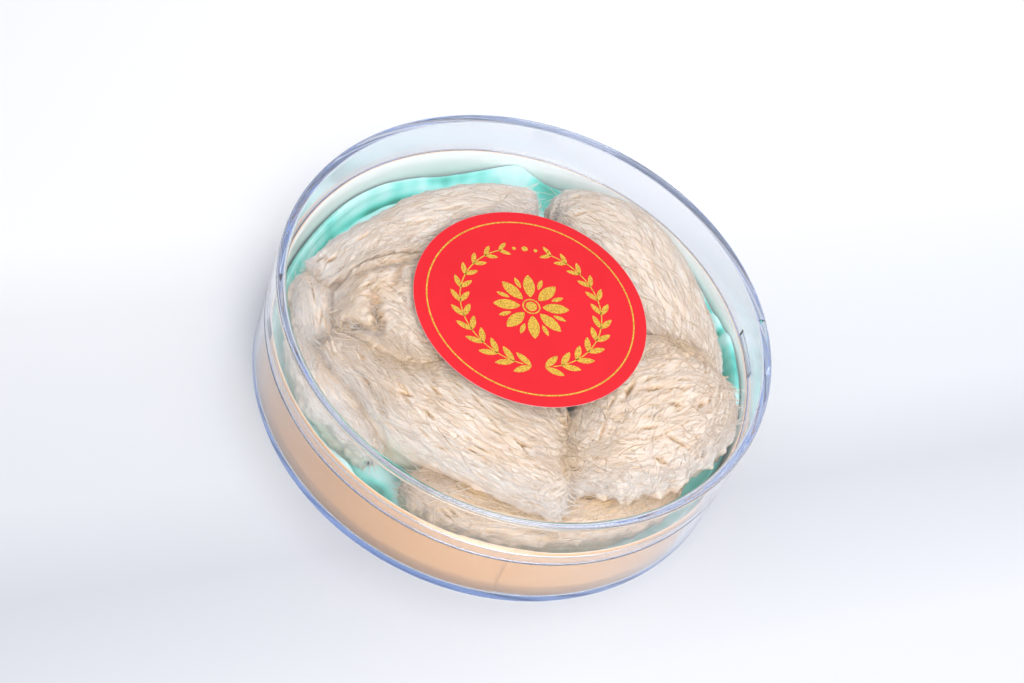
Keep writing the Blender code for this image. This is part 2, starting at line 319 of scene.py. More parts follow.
# in mm
boxSizes = {
    "radius": 75.0, "height": 41.2, "plate": 2.0, "lidWall": 2.1, "baseWall": 2.3, "collarWall": 1.3,
    "skirt": 22.0, "collarTop": 25.0, "gap": 0.3,
    "outerRound": 0.9, "innerRound": 0.8, "lipRound": 0.3, "floorRound": 0.3,
    "tabWidth": 15.0, "tabRoot": 24.0, "tabTop": 28.0, "tabInset": 0.98,
    "tabStep": 0.02,             # the tabs stand this far outside the collar's inner face
    "recessWidth": 17.0, "recessDepth": 0.22, "recessLow": 23.0, "recessTop": 28.5,
    "recessInside": 4.0,         # the cutter starts this far inside the wall, in the open
    "steps": 240,                # segments once round
}


def clearPolystyrene(values):
    # polished mould faces: sharp reflections with slight waves, and a blue tint only along the edges
    material, tree, shader = newMaterial(
        "moulded_crystal_polystyrene", Base_Color=hexToLinear(values["tint"]),
        Roughness=values["roughness"], IOR=values["ior"], Transmission_Weight=1.0)
    coords = addNode(tree, "ShaderNodeTexCoord")
    flow = addNode(tree, "ShaderNodeTexNoise", inputs={
        "Vector": coords.outputs["Object"], "Scale": 1 / (values["ripple"] * mm), "Detail": 1.0})
    bump = addNode(tree, "ShaderNodeBump", inputs={
        "Height": flow.outputs["Fac"], "Strength": 0.25, "Distance": 0.05 * mm})
    tree.links.new(bump.outputs["Normal"], shader.inputs["Normal"])
    path = addNode(tree, "ShaderNodeLightPath")
    lampSide = addNode(tree, "ShaderNodeBsdfTransparent", inputs={"Color": hexToLinear(values["shadow"])})
    mix = addNode(tree, "ShaderNodeMixShader", inputs={
        0: path.outputs["Is Shadow Ray"], 1: shader.outputs["BSDF"], 2: lampSide.outputs["BSDF"]})
    depth = addNode(tree, "ShaderNodeVolumeAbsorption", inputs={
        "Color": hexToLinear(values["depthColour"]), "Density": values["density"]})
    output = tree.nodes["Material Output"]
    tree.links.new(mix.outputs["Shader"], output.inputs["Surface"])
    tree.links.new(depth.outputs["Volume"], output.inputs["Volume"])
    return material


def blockShape(low, high):
    # a box between two corners, in mm
    shape = bmesh.new()
    bmesh.ops.create_cube(shape, size=1.0)
    bmesh.ops.scale(shape, vec=(Vector(high) - Vector(low)) * mm, verts=shape.verts)
    bmesh.ops.translate(shape, vec=(Vector(high) + Vector(low)) / 2 * mm, verts=shape.verts)
    return shape


def combine(shape, steps):
    # a bmesh less, joined with or cut to other bmeshes, as (operation, bmesh)
    made = []
    for part in [shape] + [other for _, other in steps]:
        mesh = bpy.data.meshes.new("blank")
        part.to_mesh(mesh)
        part.free()
        made.append(bpy.data.objects.new("blank", mesh))
        bpy.context.scene.collection.objects.link(made[-1])
    for (operation, _), other in zip(steps, made[1:]):
        step = made[0].modifiers.new("step", "BOOLEAN")
        step.operation = operation
        step.solver = "EXACT"
        step.object = other
    bpy.context.view_layer.update()
    found = made[0].evaluated_get(bpy.context.evaluated_depsgraph_get())
    result = bmesh.new()
    result.from_mesh(found.to_mesh())
    found.to_mesh_clear()
    for item in made:
        bpy.data.objects.remove(item)
    return result


def makeLid(sizes, material):
    # a spun cover whose skirt is thinner at its lower end, where it goes over the collar
    outer, height = sizes["radius"], sizes["height"]
    inner, ceiling = outer - sizes["lidWall"], height - sizes["plate"]
    lap = outer - sizes["baseWall"] + sizes["collarWall"] + sizes["gap"]
    lapTop = sizes["collarTop"] + sizes["gap"]
    big, small, lip = sizes["outerRound"], sizes["innerRound"], sizes["lipRound"]
    profile = [(0, height)]
    profile += arc(outer - big, height - big, big, 90, 0, 8)
    profile += arc(outer - lip, sizes["skirt"] + lip, lip, 0, -90, 8)
    profile += [(lap, sizes["skirt"]), (lap, lapTop)]
    profile += arc(inner + lip, lapTop + lip, lip, -90, -180, 8)
    profile += arc(inner - small, ceiling - small, small, 0, 90, 8)
    profile += [(0, ceiling)]
    shape = spunShape(profile, sizes["steps"])
    half, deep = sizes["recessWidth"] / 2, inner + sizes["recessDepth"]
    cuts = []
    for side in (1, -1):
        near, far = sorted((side * (inner - sizes["recessInside"]), side * deep))
        block = blockShape((near, -half, sizes["recessLow"]), (far, half, sizes["recessTop"]))
        cuts.append(("DIFFERENCE", block))
    shape = combine(shape, cuts)
    print("lid:", len(shape.faces), "faces")
    return finishPiece("clear_lid", shape, [material], 13, ["box_lid"])


def makeBase(sizes, material):
    # a spun dish with a collar for the lid, and two tabs that stand up from the collar
    outer, floorTop = sizes["radius"], sizes["plate"]
    inner = outer - sizes["baseWall"]
    collar = inner + sizes["collarWall"]
    shoulder, top = sizes["skirt"] - sizes["gap"], sizes["collarTop"]
    big, small, lip = sizes["outerRound"], sizes["floorRound"], sizes["lipRound"]
    profile = [(0, floorTop)]
    profile += arc(inner - small, floorTop + small, small, -90, 0, 3)
    profile += arc(inner + lip, top - lip, lip, 180, 90, 3)
    profile += arc(collar - lip, top - lip, lip, 90, 0, 3)
    profile += [(collar, shoulder)]
    profile += arc(outer - lip, shoulder - lip, lip, 90, 0, 3)
    profile += arc(outer - big, big, big, 0, -90, 6)
    profile += [(0, 0)]
    shape = spunShape(profile, sizes["steps"])
    tabOuter, tabInner, half = collar - sizes["tabInset"], inner + sizes["tabStep"], sizes["tabWidth"] / 2
    low, high, above = sizes["tabRoot"], sizes["tabTop"], sizes["height"]
    tabs = spunShape([(0, low), (tabOuter, low), (tabOuter, high), (0, high)], sizes["steps"])
    hollow = spunShape([(0, 0), (tabInner, 0), (tabInner, above), (0, above)], sizes["steps"])
    strip = blockShape((-outer, -half, 0), (outer, half, above))
    tabs = combine(tabs, [("INTERSECT", strip), ("DIFFERENCE", hollow)])
    shape = combine(shape, [("UNION", tabs)])
    print("base:", len(shape.faces), "faces")
    return finishPiece("clear_base", shape, [material], 30, ["box_base"])


# Card band: pearl-coated card, champagne outside and bare cream inside

# sizes in mm
bandSettings = {
    "radius": 72.4, "low": 2.4, "high": 25.7, "card": 0.32,
    "joint": -96.0, "lap": 12.0, "settle": 8.0,      # degrees: its end, how far it laps, where it turns in
    "lapGap": 0.04,              # between the two layers of the lap
    "around": 264, "up": 4,      # segments
    "outside": "#ECB880", "outsideDeep": "#E8AE74", "inside": "#F8F8F2", "edge": "#FFD9B4",
    "fibre": 0.5,                # the card's fibre grain
    "cloud": 25.0,               # across the coating's deeper and paler parts
}


def champagneCard(values):
    # pearl coating rolled on card: an even champagne tone under a broad soft sheen
    material, tree, shader = newMaterial("pearl_coated_card", Roughness=0.34, Metallic=0.05)
    shader.inputs["Coat Weight"].default_value = 0.25
    shader.inputs["Coat Roughness"].default_value = 0.3
    coords = addNode(tree, "ShaderNodeTexCoord")
    grain = addNode(tree, "ShaderNodeTexNoise", inputs={
        "Vector": coords.outputs["Object"], "Scale": 1 / (values["fibre"] * mm), "Detail": 3.0})
    cloud = addNode(tree, "ShaderNodeTexNoise", inputs={
        "Vector": coords.outputs["Object"], "Scale": 1 / (values["cloud"] * mm), "Detail": 2.0})
    ramp = addNode(tree, "ShaderNodeValToRGB", inputs={"Fac": cloud.outputs["Fac"]})
    setRamp(ramp, [(0.3, values["outsideDeep"]), (0.7, values["outside"])])
    bump = addNode(tree, "ShaderNodeBump", inputs={
        "Height": grain.outputs["Fac"], "Strength": 0.15, "Distance": 0.05 * mm})
    tree.links.new(ramp.outputs["Color"], shader.inputs["Base Color"])
    tree.links.new(bump.outputs["Normal"], shader.inputs["Normal"])
    return material


def bareCard(name, colour, values):
    # uncoated or cut card: matt, with a faint grain of fibres
    material, tree, shader = newMaterial(name, Roughness=0.75)
    coords = addNode(tree, "ShaderNodeTexCoord")
    grain = addNode(tree, "ShaderNodeTexNoise", inputs={
        "Vector": coords.outputs["Object"], "Scale": 1 / (values["fibre"] * mm), "Detail": 4.0})
    tone = addNode(tree, "ShaderNodeMix", {"data_type": "RGBA", "blend_type": "MULTIPLY"}, {
        "Factor": 0.06, "A": hexToLinear(colour), "B": grain.outputs["Color"]})
    tree.links.new(tone.outputs["Result"], shader.inputs["Base Color"])
    return material


def makeBand(values):
    # a strip wound once round, its last part turned in under the first by one thickness
    shape = bmesh.new()
    bmesh.ops.create_grid(shape, x_segments=values["around"], y_segments=values["up"], size=1.0)
    total = 360.0 + values["lap"]
    for vert in shape.verts:
        along, rise = (vert.co.x + 1) / 2, (vert.co.y + 1) / 2
        turned = total * along
        share = min(1.0, max(0.0, (turned - (360.0 - values["settle"])) / values["settle"]))
        radius = values["radius"] - values["card"] / 2 - (values["card"] + values["lapGap"]) * share
        angle = math.radians(values["joint"] - turned)
        height = values["low"] + (values["high"] - values["low"]) * rise
        vert.co = Vector((radius * math.cos(angle), radius * math.sin(angle), height)) * mm
    bmesh.ops.recalc_face_normals(shape, faces=shape.faces)
    first = next(iter(shape.faces))
    if first.normal.dot(first.calc_center_median()) < 0:
        bmesh.ops.reverse_faces(shape, faces=shape.faces)
    materials = [champagneCard(values), bareCard("bare_card_inside", values["inside"], values),
                 bareCard("cut_card_edge", values["edge"], values)]
    band = finishPiece("card_band", shape, materials, None, ["paper_band"])
    card = band.modifiers.new("card", "SOLIDIFY")
    card.thickness = values["card"] * mm
    card.offset = 0.0
    card.material_offset = 1
    card.material_offset_rim = 2
    print("card band made")
    return band


# Label: red coated paper disc with a foil wreath and rosette

# sizes in mm
labelSettings = {
    "radius": 35.4, "margin": 0.06, "low": 41.23, "thickness": 0.15,
    "red": "#EE1224", "redDeep": "#E80F21", "cut": "#E9B5AE",
    "cloud": 16.7,               # across the ink's deeper and brighter parts
    "foil": "#F0C24A", "foilDark": "#C08E28", "foilGrain": 0.5,
    "foilGap": 0.005, "foilRise": 0.03,
    "wreathRadius": 21.5, "wreathFrom": -78.0, "wreathTo": 72.0, "stemWidth": 0.36, "leafPairs": 12,
    "leafLength": 6.0, "leafWidth": 2.1, "leafLean": 34.0, "leafOffset": 1.75,
    "leafTaper": 0.35,           # how much smaller the last leaves are
    "petals": 8, "petalFrom": 3.4, "petalLength": 8.2, "petalWidth": 3.6,
    "sepalFrom": 5.6, "sepalLength": 0.5, "sepalWidth": 0.4,         # the last two as shares of a petal's
    "eye": 1.7,
    "rings": [(2.3, 2.75, 40), (31.2, 31.65, 160)],                  # inner and outer radius, segments
    "dots": [0.6, 0.94, 0.6], "dotStep": 9.0,                        # radii, and degrees between them
}


def redPaper(values):
    # gloss-coated paper printed solid red: even, with a soft sheen
    material, tree, shader = newMaterial("gloss_coated_red_paper", Roughness=0.38)
    coords = addNode(tree, "ShaderNodeTexCoord")
    cloud = addNode(tree, "ShaderNodeTexNoise", inputs={
        "Vector": coords.outputs["Object"], "Scale": 1 / (values["cloud"] * mm), "Detail": 4.0})
    ramp = addNode(tree, "ShaderNodeValToRGB", inputs={"Fac": cloud.outputs["Fac"]})
    setRamp(ramp, [(0.35, values["redDeep"]), (0.65, values["red"])])
    tree.links.new(ramp.outputs["Color"], shader.inputs["Base Color"])
    shader.inputs["Specular IOR Level"].default_value = 0.35
    return material


def goldFoil(values):
    # hot-stamped foil on paper: dull gold with a speckled grain
    material, tree, shader = newMaterial("hot_stamped_gold_foil", Metallic=0.35, Roughness=0.5)
    coords = addNode(tree, "ShaderNodeTexCoord")
    grain = addNode(tree, "ShaderNodeTexNoise", inputs={
        "Vector": coords.outputs["Object"], "Scale": 1 / (values["foilGrain"] * mm), "Detail": 5.0})
    ramp = addNode(tree, "ShaderNodeValToRGB", inputs={"Fac": grain.outputs["Fac"]})
    setRamp(ramp, [(0.36, values["foilDark"]), (0.55, values["foil"])])
    bump = addNode(tree, "ShaderNodeBump", inputs={
        "Height": grain.outputs["Fac"], "Strength": 0.5, "Distance": 0.02 * mm})
    tree.links.new(ramp.outputs["Color"], shader.inputs["Base Color"])
    tree.links.new(bump.outputs["Normal"], shader.inputs["Normal"])
    return material


def addDisc(shape, radius, low, high, segments, centre=(0, 0)):
    # a closed flat disc, in metres
    made = bmesh.ops.create_cone(shape, cap_ends=True, segments=segments, radius1=radius, radius2=radius,
                                 depth=high - low)
    bmesh.ops.translate(shape, vec=(centre[0], centre[1], (low + high) / 2), verts=made["verts"])
    return made["verts"]


def addLeaf(shape, radius, angle, turn, length, width, low, high):
    # a pointed leaf, a disc pinched towards its two ends: its middle in mm from the label's middle and as
    # an angle, its own turn, and its sizes in mm; low and high are in metres
    verts = addDisc(shape, 1.0, low, high, 18)
    for vert in verts:
        x, y = vert.co.x, vert.co.y
        vert.co.x = x * length / 2 * mm
        vert.co.y = math.copysign(abs(y) ** 1.7, y) * width / 2 * mm
    bmesh.ops.rotate(shape, verts=verts, cent=(0, 0, 0), matrix=Matrix.Rotation(turn, 3, "Z"))
    centre = Vector((math.cos(angle), math.sin(angle), 0)) * radius * mm
    bmesh.ops.translate(shape, vec=centre, verts=verts)


def addRing(shape, inner, outer, low, high, segments, start=0.0, sweep=math.tau):
    # a flat closed ring, or an arc of one, spun from its section, in metres
    section = (inner, low), (outer, low), (outer, high), (inner, high)
    corners = [shape.verts.new((r, 0, z)) for r, z in section]
    face = shape.faces.new(corners)
    bmesh.ops.rotate(shape, verts=corners, cent=(0, 0, 0), matrix=Matrix.Rotation(start, 3, "Z"))
    whole = abs(sweep - math.tau) < 1e-6
    geometry = corners + list(face.edges)
    if whole:
        shape.faces.remove(face)
    else:
        geometry.append(face)
    bmesh.ops.spin(shape, geom=geometry, axis=(0, 0, 1), cent=(0, 0, 0), angle=sweep, steps=segments,
                   use_merge=whole)


def makeLabel(values):
    # the disc, red on its top; its cut edge shows the pale, matt pulp under the ink
    low, high = values["low"] * mm, (values["low"] + values["thickness"]) * mm
    cut, _, _ = newMaterial("uncoated_paper_edge", Base_Color=hexToLinear(values["cut"]), Roughness=0.7)
    shape = bmesh.new()
    addDisc(shape, values["radius"] * mm, low, high, 180)
    top = max(shape.faces, key=lambda face: face.calc_center_median().z)
    bmesh.ops.inset_region(shape, faces=[top], thickness=values["margin"] * mm)
    for face in shape.faces:
        face.material_index = 1
    top.material_index = 0
    finishPiece("red_label", shape, [redPaper(values), cut], 30, ["lid_label"])
    print("label made")


def addWreath(foil, values, low, high):
    # two stems, each with leaves on both sides that get smaller towards its end
    first, last = values["wreathFrom"], values["wreathTo"]
    stem, half = values["wreathRadius"], values["stemWidth"] / 2
    for side in (1, -1):
        for i in range(values["leafPairs"]):
            share = i / (values["leafPairs"] - 1)
            place = first + (last - first) * share
            angle = math.radians(place if side > 0 else 180 - place)
            scale = 1.0 - values["leafTaper"] * share
            for lean in (1, -1):
                turn = angle + side * math.radians(90 - lean * values["leafLean"])
                addLeaf(foil, stem + lean * values["leafOffset"] * scale, angle, turn,
                        values["leafLength"] * scale, values["leafWidth"] * scale, low, high)
        start = math.radians(first if side > 0 else 180 - last)
        addRing(foil, (stem - half) * mm, (stem + half) * mm, low, high, 48,
                start, math.radians(last - first))


def addRosette(foil, values, low, high):
    # petals with a sepal between each two, round an eye
    for i in range(values["petals"]):
        angle = math.tau * i / values["petals"] + math.radians(90)
        addLeaf(foil, values["petalFrom"] + values["petalLength"] / 2, angle, angle,
                values["petalLength"], values["petalWidth"], low, high)
        angle += math.pi / values["petals"]
        addLeaf(foil, values["petalFrom"] + values["sepalFrom"], angle, angle,
                values["petalLength"] * values["sepalLength"], values["petalWidth"] * values["sepalWidth"],
                low, high)
    addDisc(foil, values["eye"] * mm, low, high, 32)


def makeFoil(values):
    # the gold ornament, a hair above the paper
    paper = values["low"] + values["thickness"]
    low, high = (paper + values["foilGap"]) * mm, (paper + values["foilRise"]) * mm
    foil = bmesh.new()
    addWreath(foil, values, low, high)
    addRosette(foil, values, low, high)
    for inner, outer, segments in values["rings"]:
        addRing(foil, inner * mm, outer * mm, low, high, segments)
    for i, size in enumerate(values["dots"]):
        angle = math.radians(90 + (i - 1) * values["dotStep"])
        centre = Vector((math.cos(angle), math.sin(angle))) * values["wreathRadius"] * mm
        addDisc(foil, size * mm, low, high, 24, centre)
    bmesh.ops.recalc_face_normals(foil, faces=foil.faces)
    finishPiece("gold_foil_wreath", foil, [goldFoil(values)], 30)
    print("foil made")


# Satin: polyester charmeuse laid in the base and pushed up its wall in soft folds

# sizes in mm and places round the box in degrees
satinSettings = {
    "wallRadius": 71.4, "middle": 7.8, "cloth": 0.28,
    "flatRadius": 28.0, "slopeRadius": 50.0, "slopeHeight": 8.6,
    "lowest": 3.0, "highest": 25.4,
    "around": 360, "out": 64,
    # where the cloth's edge lies on the wall: azimuth and height
    "edge": [(0, 23.4), (7, 24.4), (12, 20.3), (19, 19.8), (30, 22.0), (40, 22.3), (52, 21.0), (62, 18.4),
             (70, 17.6), (74, 16.6), (80, 20.4), (85, 23.2), (90, 19.8), (96, 16.4), (104, 14.8),
             (115, 16.8), (121, 17.6), (131, 17.2), (138, 15.6), (146, 13.6), (158, 12.8), (172, 13.4),
             (188, 14.2), (204, 16.0), (213, 19.0), (224, 19.0), (231, 14.6), (244, 13.6), (262, 13.6),
             (282, 14.4), (300, 15.2), (314, 13.8), (328, 13.6), (337, 18.0), (345, 23.0), (352, 23.6)],
    # the trough inside that edge
    "trough": [(0, 12.0), (12, 13.0), (30, 13.5), (60, 12.5), (85, 15.0), (104, 13.8), (120, 13.0),
               (132, 11.8), (145, 10.2), (160, 9.6), (185, 10.5), (205, 11.0), (218, 10.4), (235, 9.6),
               (262, 10.2), (290, 11.2), (312, 11.2), (330, 10.0), (345, 10.5)],
    "troughRadius": [(0, 63.5), (60, 64.0), (85, 61.0), (104, 63.0), (130, 65.6), (150, 66.2),
                     (165, 65.0), (205, 62.5), (222, 62.0), (240, 63.0), (300, 64.0), (340, 63.0)],
    # swells: azimuth, radius, reach round, reach out, turn, height
    "swells": [
        (14, 66.5, 3.6, 3.0, 0, 5.0), (9.5, 66.0, 1.6, 3.5, 0, -2.5), (219, 67.0, 8.5, 2.2, 8, 4.2),
        (235, 62.0, 1.2, 9.0, -8, 1.0), (238, 62.0, 1.2, 9.0, -8, -1.2), (135, 60.5, 18.0, 3.0, 0, 2.4),
        (112, 61.0, 14.0, 3.5, 6, 2.4), (84, 66.0, 3.5, 5.0, 0, 1.4), (298, 66.5, 14.0, 2.0, 0, 1.8),
        (200, 64.0, 8.0, 4.0, 0, 1.5), (330, 66.0, 9.0, 2.2, 0, 1.6), (122, 66.6, 15.0, 1.0, 2, -2.4),
        (152, 66.4, 12.0, 1.1, -3, -3.0), (140, 62.2, 12.0, 1.4, 4, -1.8), (105, 64.0, 10.0, 1.2, -5, -1.8),
        (5, 63.0, 1.6, 5.0, 10, -2.6), (18, 64.0, 6.0, 1.2, 0, -1.8), (222, 64.2, 7.0, 1.1, 5, -2.0),
        (228, 66.5, 1.4, 5.0, 10, -1.8), (300, 63.6, 14.0, 1.2, 0, -1.6), (334, 63.6, 8.0, 1.2, 0, -1.8),
    ],
    "pleat": 0.32, "crease": 0.14,              # height of the long pleats and of the creases on them
    # from the bottom of a fold to its back: painted shade in the folds and a painted highlight on their
    # backs
    "foldShadeColours": [(0.08, "#1FA48C"), (0.26, "#58D5C3"), (0.44, "#90F1E4"), (0.66, "#D0FFF9")],
    "foldDepth": 1.3, "levelPasses": 40, "thread": 0.3,
    # where more painted shade darkens the folds: azimuth, radius, reach, how much deeper
    "paintedShadeSpots": [(358, 69.0, 12.0, 0.32), (229, 64.0, 8.0, 0.52)],
}


def mintSatin(values):
    # satin weave: long floats give a soft, stretched gloss over a clear mint, with painted shade in the
    # folds and a painted highlight on their backs
    material, tree, shader = newMaterial("satin_weave_polyester", Roughness=0.42)
    coords = addNode(tree, "ShaderNodeTexCoord")
    fold = addNode(tree, "ShaderNodeAttribute", {"attribute_name": "fold"})
    ramp = addNode(tree, "ShaderNodeValToRGB", inputs={"Fac": fold.outputs["Fac"]})
    setRamp(ramp, values["foldShadeColours"])
    weave = addNode(tree, "ShaderNodeTexWave", {"wave_type": "BANDS", "bands_direction": "DIAGONAL"}, {
        "Vector": coords.outputs["Object"], "Scale": 0.314 / (values["thread"] * mm), "Distortion": 0.4})
    bump = addNode(tree, "ShaderNodeBump", inputs={
        "Height": weave.outputs["Fac"], "Strength": 0.12, "Distance": 0.03 * mm})
    tree.links.new(ramp.outputs["Color"], shader.inputs["Base Color"])
    tree.links.new(bump.outputs["Normal"], shader.inputs["Normal"])
    shader.inputs["Specular IOR Level"].default_value = 0.5
    shader.inputs["Sheen Weight"].default_value = 0.15
    shader.inputs["Sheen Roughness"].default_value = 0.4
    return material


def roundTheWall(points, azimuths):
    # values given at some azimuths, read all the way round, with the corners between them rounded off
    places = np.array([p[0] for p in points], float)
    heights = np.array([p[1] for p in points], float)
    places = np.concatenate([places[-2:] - 360, places, places[:2] + 360])
    heights = np.concatenate([heights[-2:], heights, heights[:2]])
    line = np.interp(azimuths, places, heights)
    for _ in range(3):
        line = sum(np.roll(line, i - 2) * k for i, k in enumerate(np.array([1, 2, 3, 2, 1]) / 9.0))
    return line


def satinForm(values):
    # the cloth as a grid of points in mm: rows round the box, columns from its middle to the wall
    around, out, wall = values["around"], values["out"], values["wallRadius"]
    azimuth = np.arange(around) * 360.0 / around
    lines = [roundTheWall(values[key], azimuth) for key in ("edge", "trough", "troughRadius")]
    # the columns are closer together where the cloth turns up
    share = np.concatenate([np.linspace(0, 0.5, 12)[:-1], np.linspace(0.5, 1, out - 11)])
    grid = np.zeros((around + 1, out, 3))
    for i in range(around + 1):
        k = i % around
        angle = math.radians(azimuth[k])
        edge, trough, low = (line[k] for line in lines)
        # flat in the middle, rising slowly as far as the trough, then up the wall to a turned edge
        section = [(0, values["middle"]), (values["flatRadius"], values["middle"]),
                   (values["slopeRadius"], values["slopeHeight"] + 0.5 * (trough - 9)),
                   (low - 5, trough + 1.2), (low, trough),
                   (low + 0.45 * (wall - low), trough + 0.42 * (edge - trough)),
                   (wall - 2.6, edge - 0.4), (wall - 1.3, edge + 0.5), (wall, edge - 1.2)]
        line = through(section, share)
        grid[i, :, 0] = line[:, 0] * math.cos(angle)
        grid[i, :, 1] = line[:, 0] * math.sin(angle)
        grid[i, :, 2] = line[:, 1]
    return grid


def addFolds(grid, values):
    # raises and sinks the cloth near the wall: pleats with creases on them, and the listed swells
    x, y, wall = grid[..., 0], grid[..., 1], values["wallRadius"]
    radius, turn = np.hypot(x, y), np.arctan2(y, x)
    loose = np.clip((radius - 40) / 22, 0, 1) * np.clip((wall - radius) / 2.0, 0, 1)
    pleats = np.cos(turn * 23 + 2.2 * np.sin(turn * 3) + radius / 9.0) * 0.6
    pleats += np.cos(turn * 13 + 1.7 * np.sin(turn * 5 + 1) - radius / 7.0)
    creases = np.cos(turn * 61 + 3.0 * np.sin(turn * 7) + radius / 2.6)
    grid[..., 2] += loose * (values["pleat"] * pleats + values["crease"] * creases)
    for place, reach, spanRound, spanOut, lean, height in values["swells"]:
        across = (np.angle(np.exp(1j * (turn - math.radians(place))))) * reach
        outward = radius - reach
        c, s = math.cos(math.radians(lean)), math.sin(math.radians(lean))
        first, second = across * c + outward * s, -across * s + outward * c
        swell = height * np.exp(-(first / spanRound) ** 2 - (second / spanOut) ** 2)
        grid[..., 2] += swell * np.clip(wall - radius, 0, 1)
    grid[..., 2] = np.clip(grid[..., 2], values["lowest"], values["highest"])


def paintedFoldShade(grid, values):
    # painted shade and highlight: from 0 at the bottom of a fold to 1 on its back, and lower where more
    # painted shade is put
    level = grid[:-1, :, 2]         # becomes the level that the folds rise above and sink below
    for _ in range(values["levelPasses"]):
        aside = np.pad(level, ((0, 0), (1, 1)), mode="edge")
        level = (np.roll(level, 1, axis=0) + np.roll(level, -1, axis=0) + aside[:, 2:] + aside[:, :-2]) / 4
    level = np.concatenate([level, level[:1]])
    fold = np.clip(0.5 + (grid[..., 2] - level) / values["foldDepth"] / 2, 0, 1)
    # more painted shade at the listed spots
    for place, far, reach, deeper in values["paintedShadeSpots"]:
        angle = math.radians(place)
        apart = np.hypot(grid[..., 0] - far * math.cos(angle), grid[..., 1] - far * math.sin(angle))
        fold = np.clip(fold - deeper * np.exp(-(apart / reach) ** 2), 0, 1)
    return fold


def makeSatin(values):
    # a disc of cloth, flat in the middle and bunched into a trough and folds along the wall
    grid = satinForm(values)
    addFolds(grid, values)
    fold = paintedFoldShade(grid, values)
    shape, order = gridBody(grid)
    # the fold attribute carries the painted shade and highlight to the material
    layer = shape.verts.layers.float.new("fold")
    for vert, (row, column) in zip(shape.verts, order):
        vert[layer] = fold[row, column]
    bmesh.ops.remove_doubles(shape, verts=shape.verts, dist=1e-6)
    bmesh.ops.recalc_face_normals(shape, faces=shape.faces)
    if sum(face.normal.z * face.calc_area() for face in shape.faces) < 0:
        bmesh.ops.reverse_faces(shape, faces=shape.faces)
    materials = [mintSatin(values)]
    satin = finishPiece("mint_satin_cloth", shape, materials, None, ["satin_lining"])
    cloth = satin.modifiers.new("cloth", "SOLIDIFY")
    cloth.thickness = values["cloth"] * mm
    cloth.offset = -1.0
    print("satin made")
    return satin


# Nests: dried swiftlet nest cups, cleaned and pressed; a felted body with loose strands on it

# sizes in mm; tones run from 0, the painted shade in the holes and crevices, to 1, the palest strands
nestLook = {
    "holeShade": "#7A5C34", "creviceShade": "#C49F6C", "shade": "#DFBE99", "middle": "#EBD2B8", "strand": "#F1E0CC",
    "light": "#F7ECDF",
    "glow": (0.9, 0.6, 0.4),     # how far red, green and blue light spreads inside the gum
    "bodyGlow": 0.35, "strandGlow": 0.25,     # how much of the light does that
    "fibre": 0.42,               # across one fibre, drawn a little coarser than the real 0.3 mm
    "fibreLength": 5.0,
    "lock": 1.1,                 # across a lock of fibres that dried together
    "lockLength": 11.0,
    "patch": 9.0,                # across the yellower patches
    # how far the streaks of fibres and of locks move the tone, and how far the painted shade of the slits
    # beside them goes
    "fibreTones": (0.20, 0.24), "lockTones": (0.09, 0.10),
    "grainTone": 0.12, "patchTone": 0.14,
    "row": 0.5,                  # between the body's grid lines
    "endRows": 0.054,            # how much closer those lie at the nest's ends
    "endClose": 0.06,            # share of the length in which an end closes
    "endReach": 2.2,             # how unevenly the ends stop
    "top": 38.9,                 # nothing reaches past the packing room under the lid
    # the body's relief: broad swells, single fibres, and the most that the fibres wind
    "swell": 0.30, "fine": 0.05, "fineTone": 0.02, "mostWinding": 14,
    # and its two sizes of lock: start and least are where the groove beside it begins and how much of it
    # is there on the least worn spots; the back is higher and paler, a painted highlight, and the groove
    # deeper and darker, a painted shade
    "locks": [
        {"length": 11.0, "width": 1.76, "start": 0.3, "least": 0.4,
         "higher": 0.10, "deeper": 0.34, "paler": 0.05, "darker": 0.30},
        {"length": 8.0, "width": 0.88, "start": 0.4, "least": 0.3,
         "higher": 0.06, "deeper": 0.16, "paler": 0.04, "darker": 0.18},
    ],
    # pits: where they lie as shares of the way round, and the ranges of their length, width and depth
    "pitAround": (0.24, 0.76), "pits": [(0.6, 2.8), (0.14, 0.26), (0.3, 1.1)],
    "slitBelow": 0.8, "slitShare": 0.62,      # a dent narrower than this is a slit, cut at this share of it
    "bodyTone": 0.60, "strandTone": 0.84, "strandScatter": 0.09,
    "outward": 0.14,             # how much paler the thick outer side is
    "dentShade": 0.19, "lumpHighlight": 0.05,       # how much painted shade a dent gets and how much painted highlight a lump gets, per mm
    # painted shade in the slits and pits, per mm of depth, and its most
    "slitShade": 0.42, "slitMost": 0.55,
    "floorShade": 0.14, "floorReach": 14.0,    # how much painted shade darkens and browns it at the floor, and how far up
    "press": 2.4, "pressShade": 0.20,          # the painted shade where two nests are pressed together
    "topShade": 0.29, "topFrom": 30.0, "topTo": 36.0,       # painted shade that makes the tops of the cups darker and yellower, from and to these heights
    # loose strands: points along each, sides of its tube, and how many more are tried than are wanted
    "strandPoints": 6, "strandSides": 3, "strandSpare": 1.6,
    # spreads of their thickness, length and lift off the body: shape, scale, least and most
    "strandRadius": 0.09, "strandThickness": (8, 0.125, 0.5, 1.8),
    "strandLengths": (4.0, 2.1, 3, 16), "strandLifts": (1.5, 0.07, 0.02, 0.5),
    "shortShare": 0.6,           # length of those at the rims and ends
    # where they are rooted, as shares of the length from an end and of the way round; then the two rims
    "endRoots": (0.01, 0.09), "rootAround": (0.19, 0.81), "rims": (0.29, 0.71), "rimSpread": 0.02,
    "outerShare": 0.6,           # of the rims' strands, those at the outer one
    "crossTurn": 80, "turnSpread": 12, "bendSpread": 8,              # degrees
    "rest": 0.03, "dip": 0.12,   # how high their middles lie, and how far their ends go into the body
    "rimFlare": (0.1, 0.8), "looseFlare": (0.2, 1.2), "looseShare": 0.04,
    "covered": 0.5,              # a strand over a pit deeper than this is left out
}
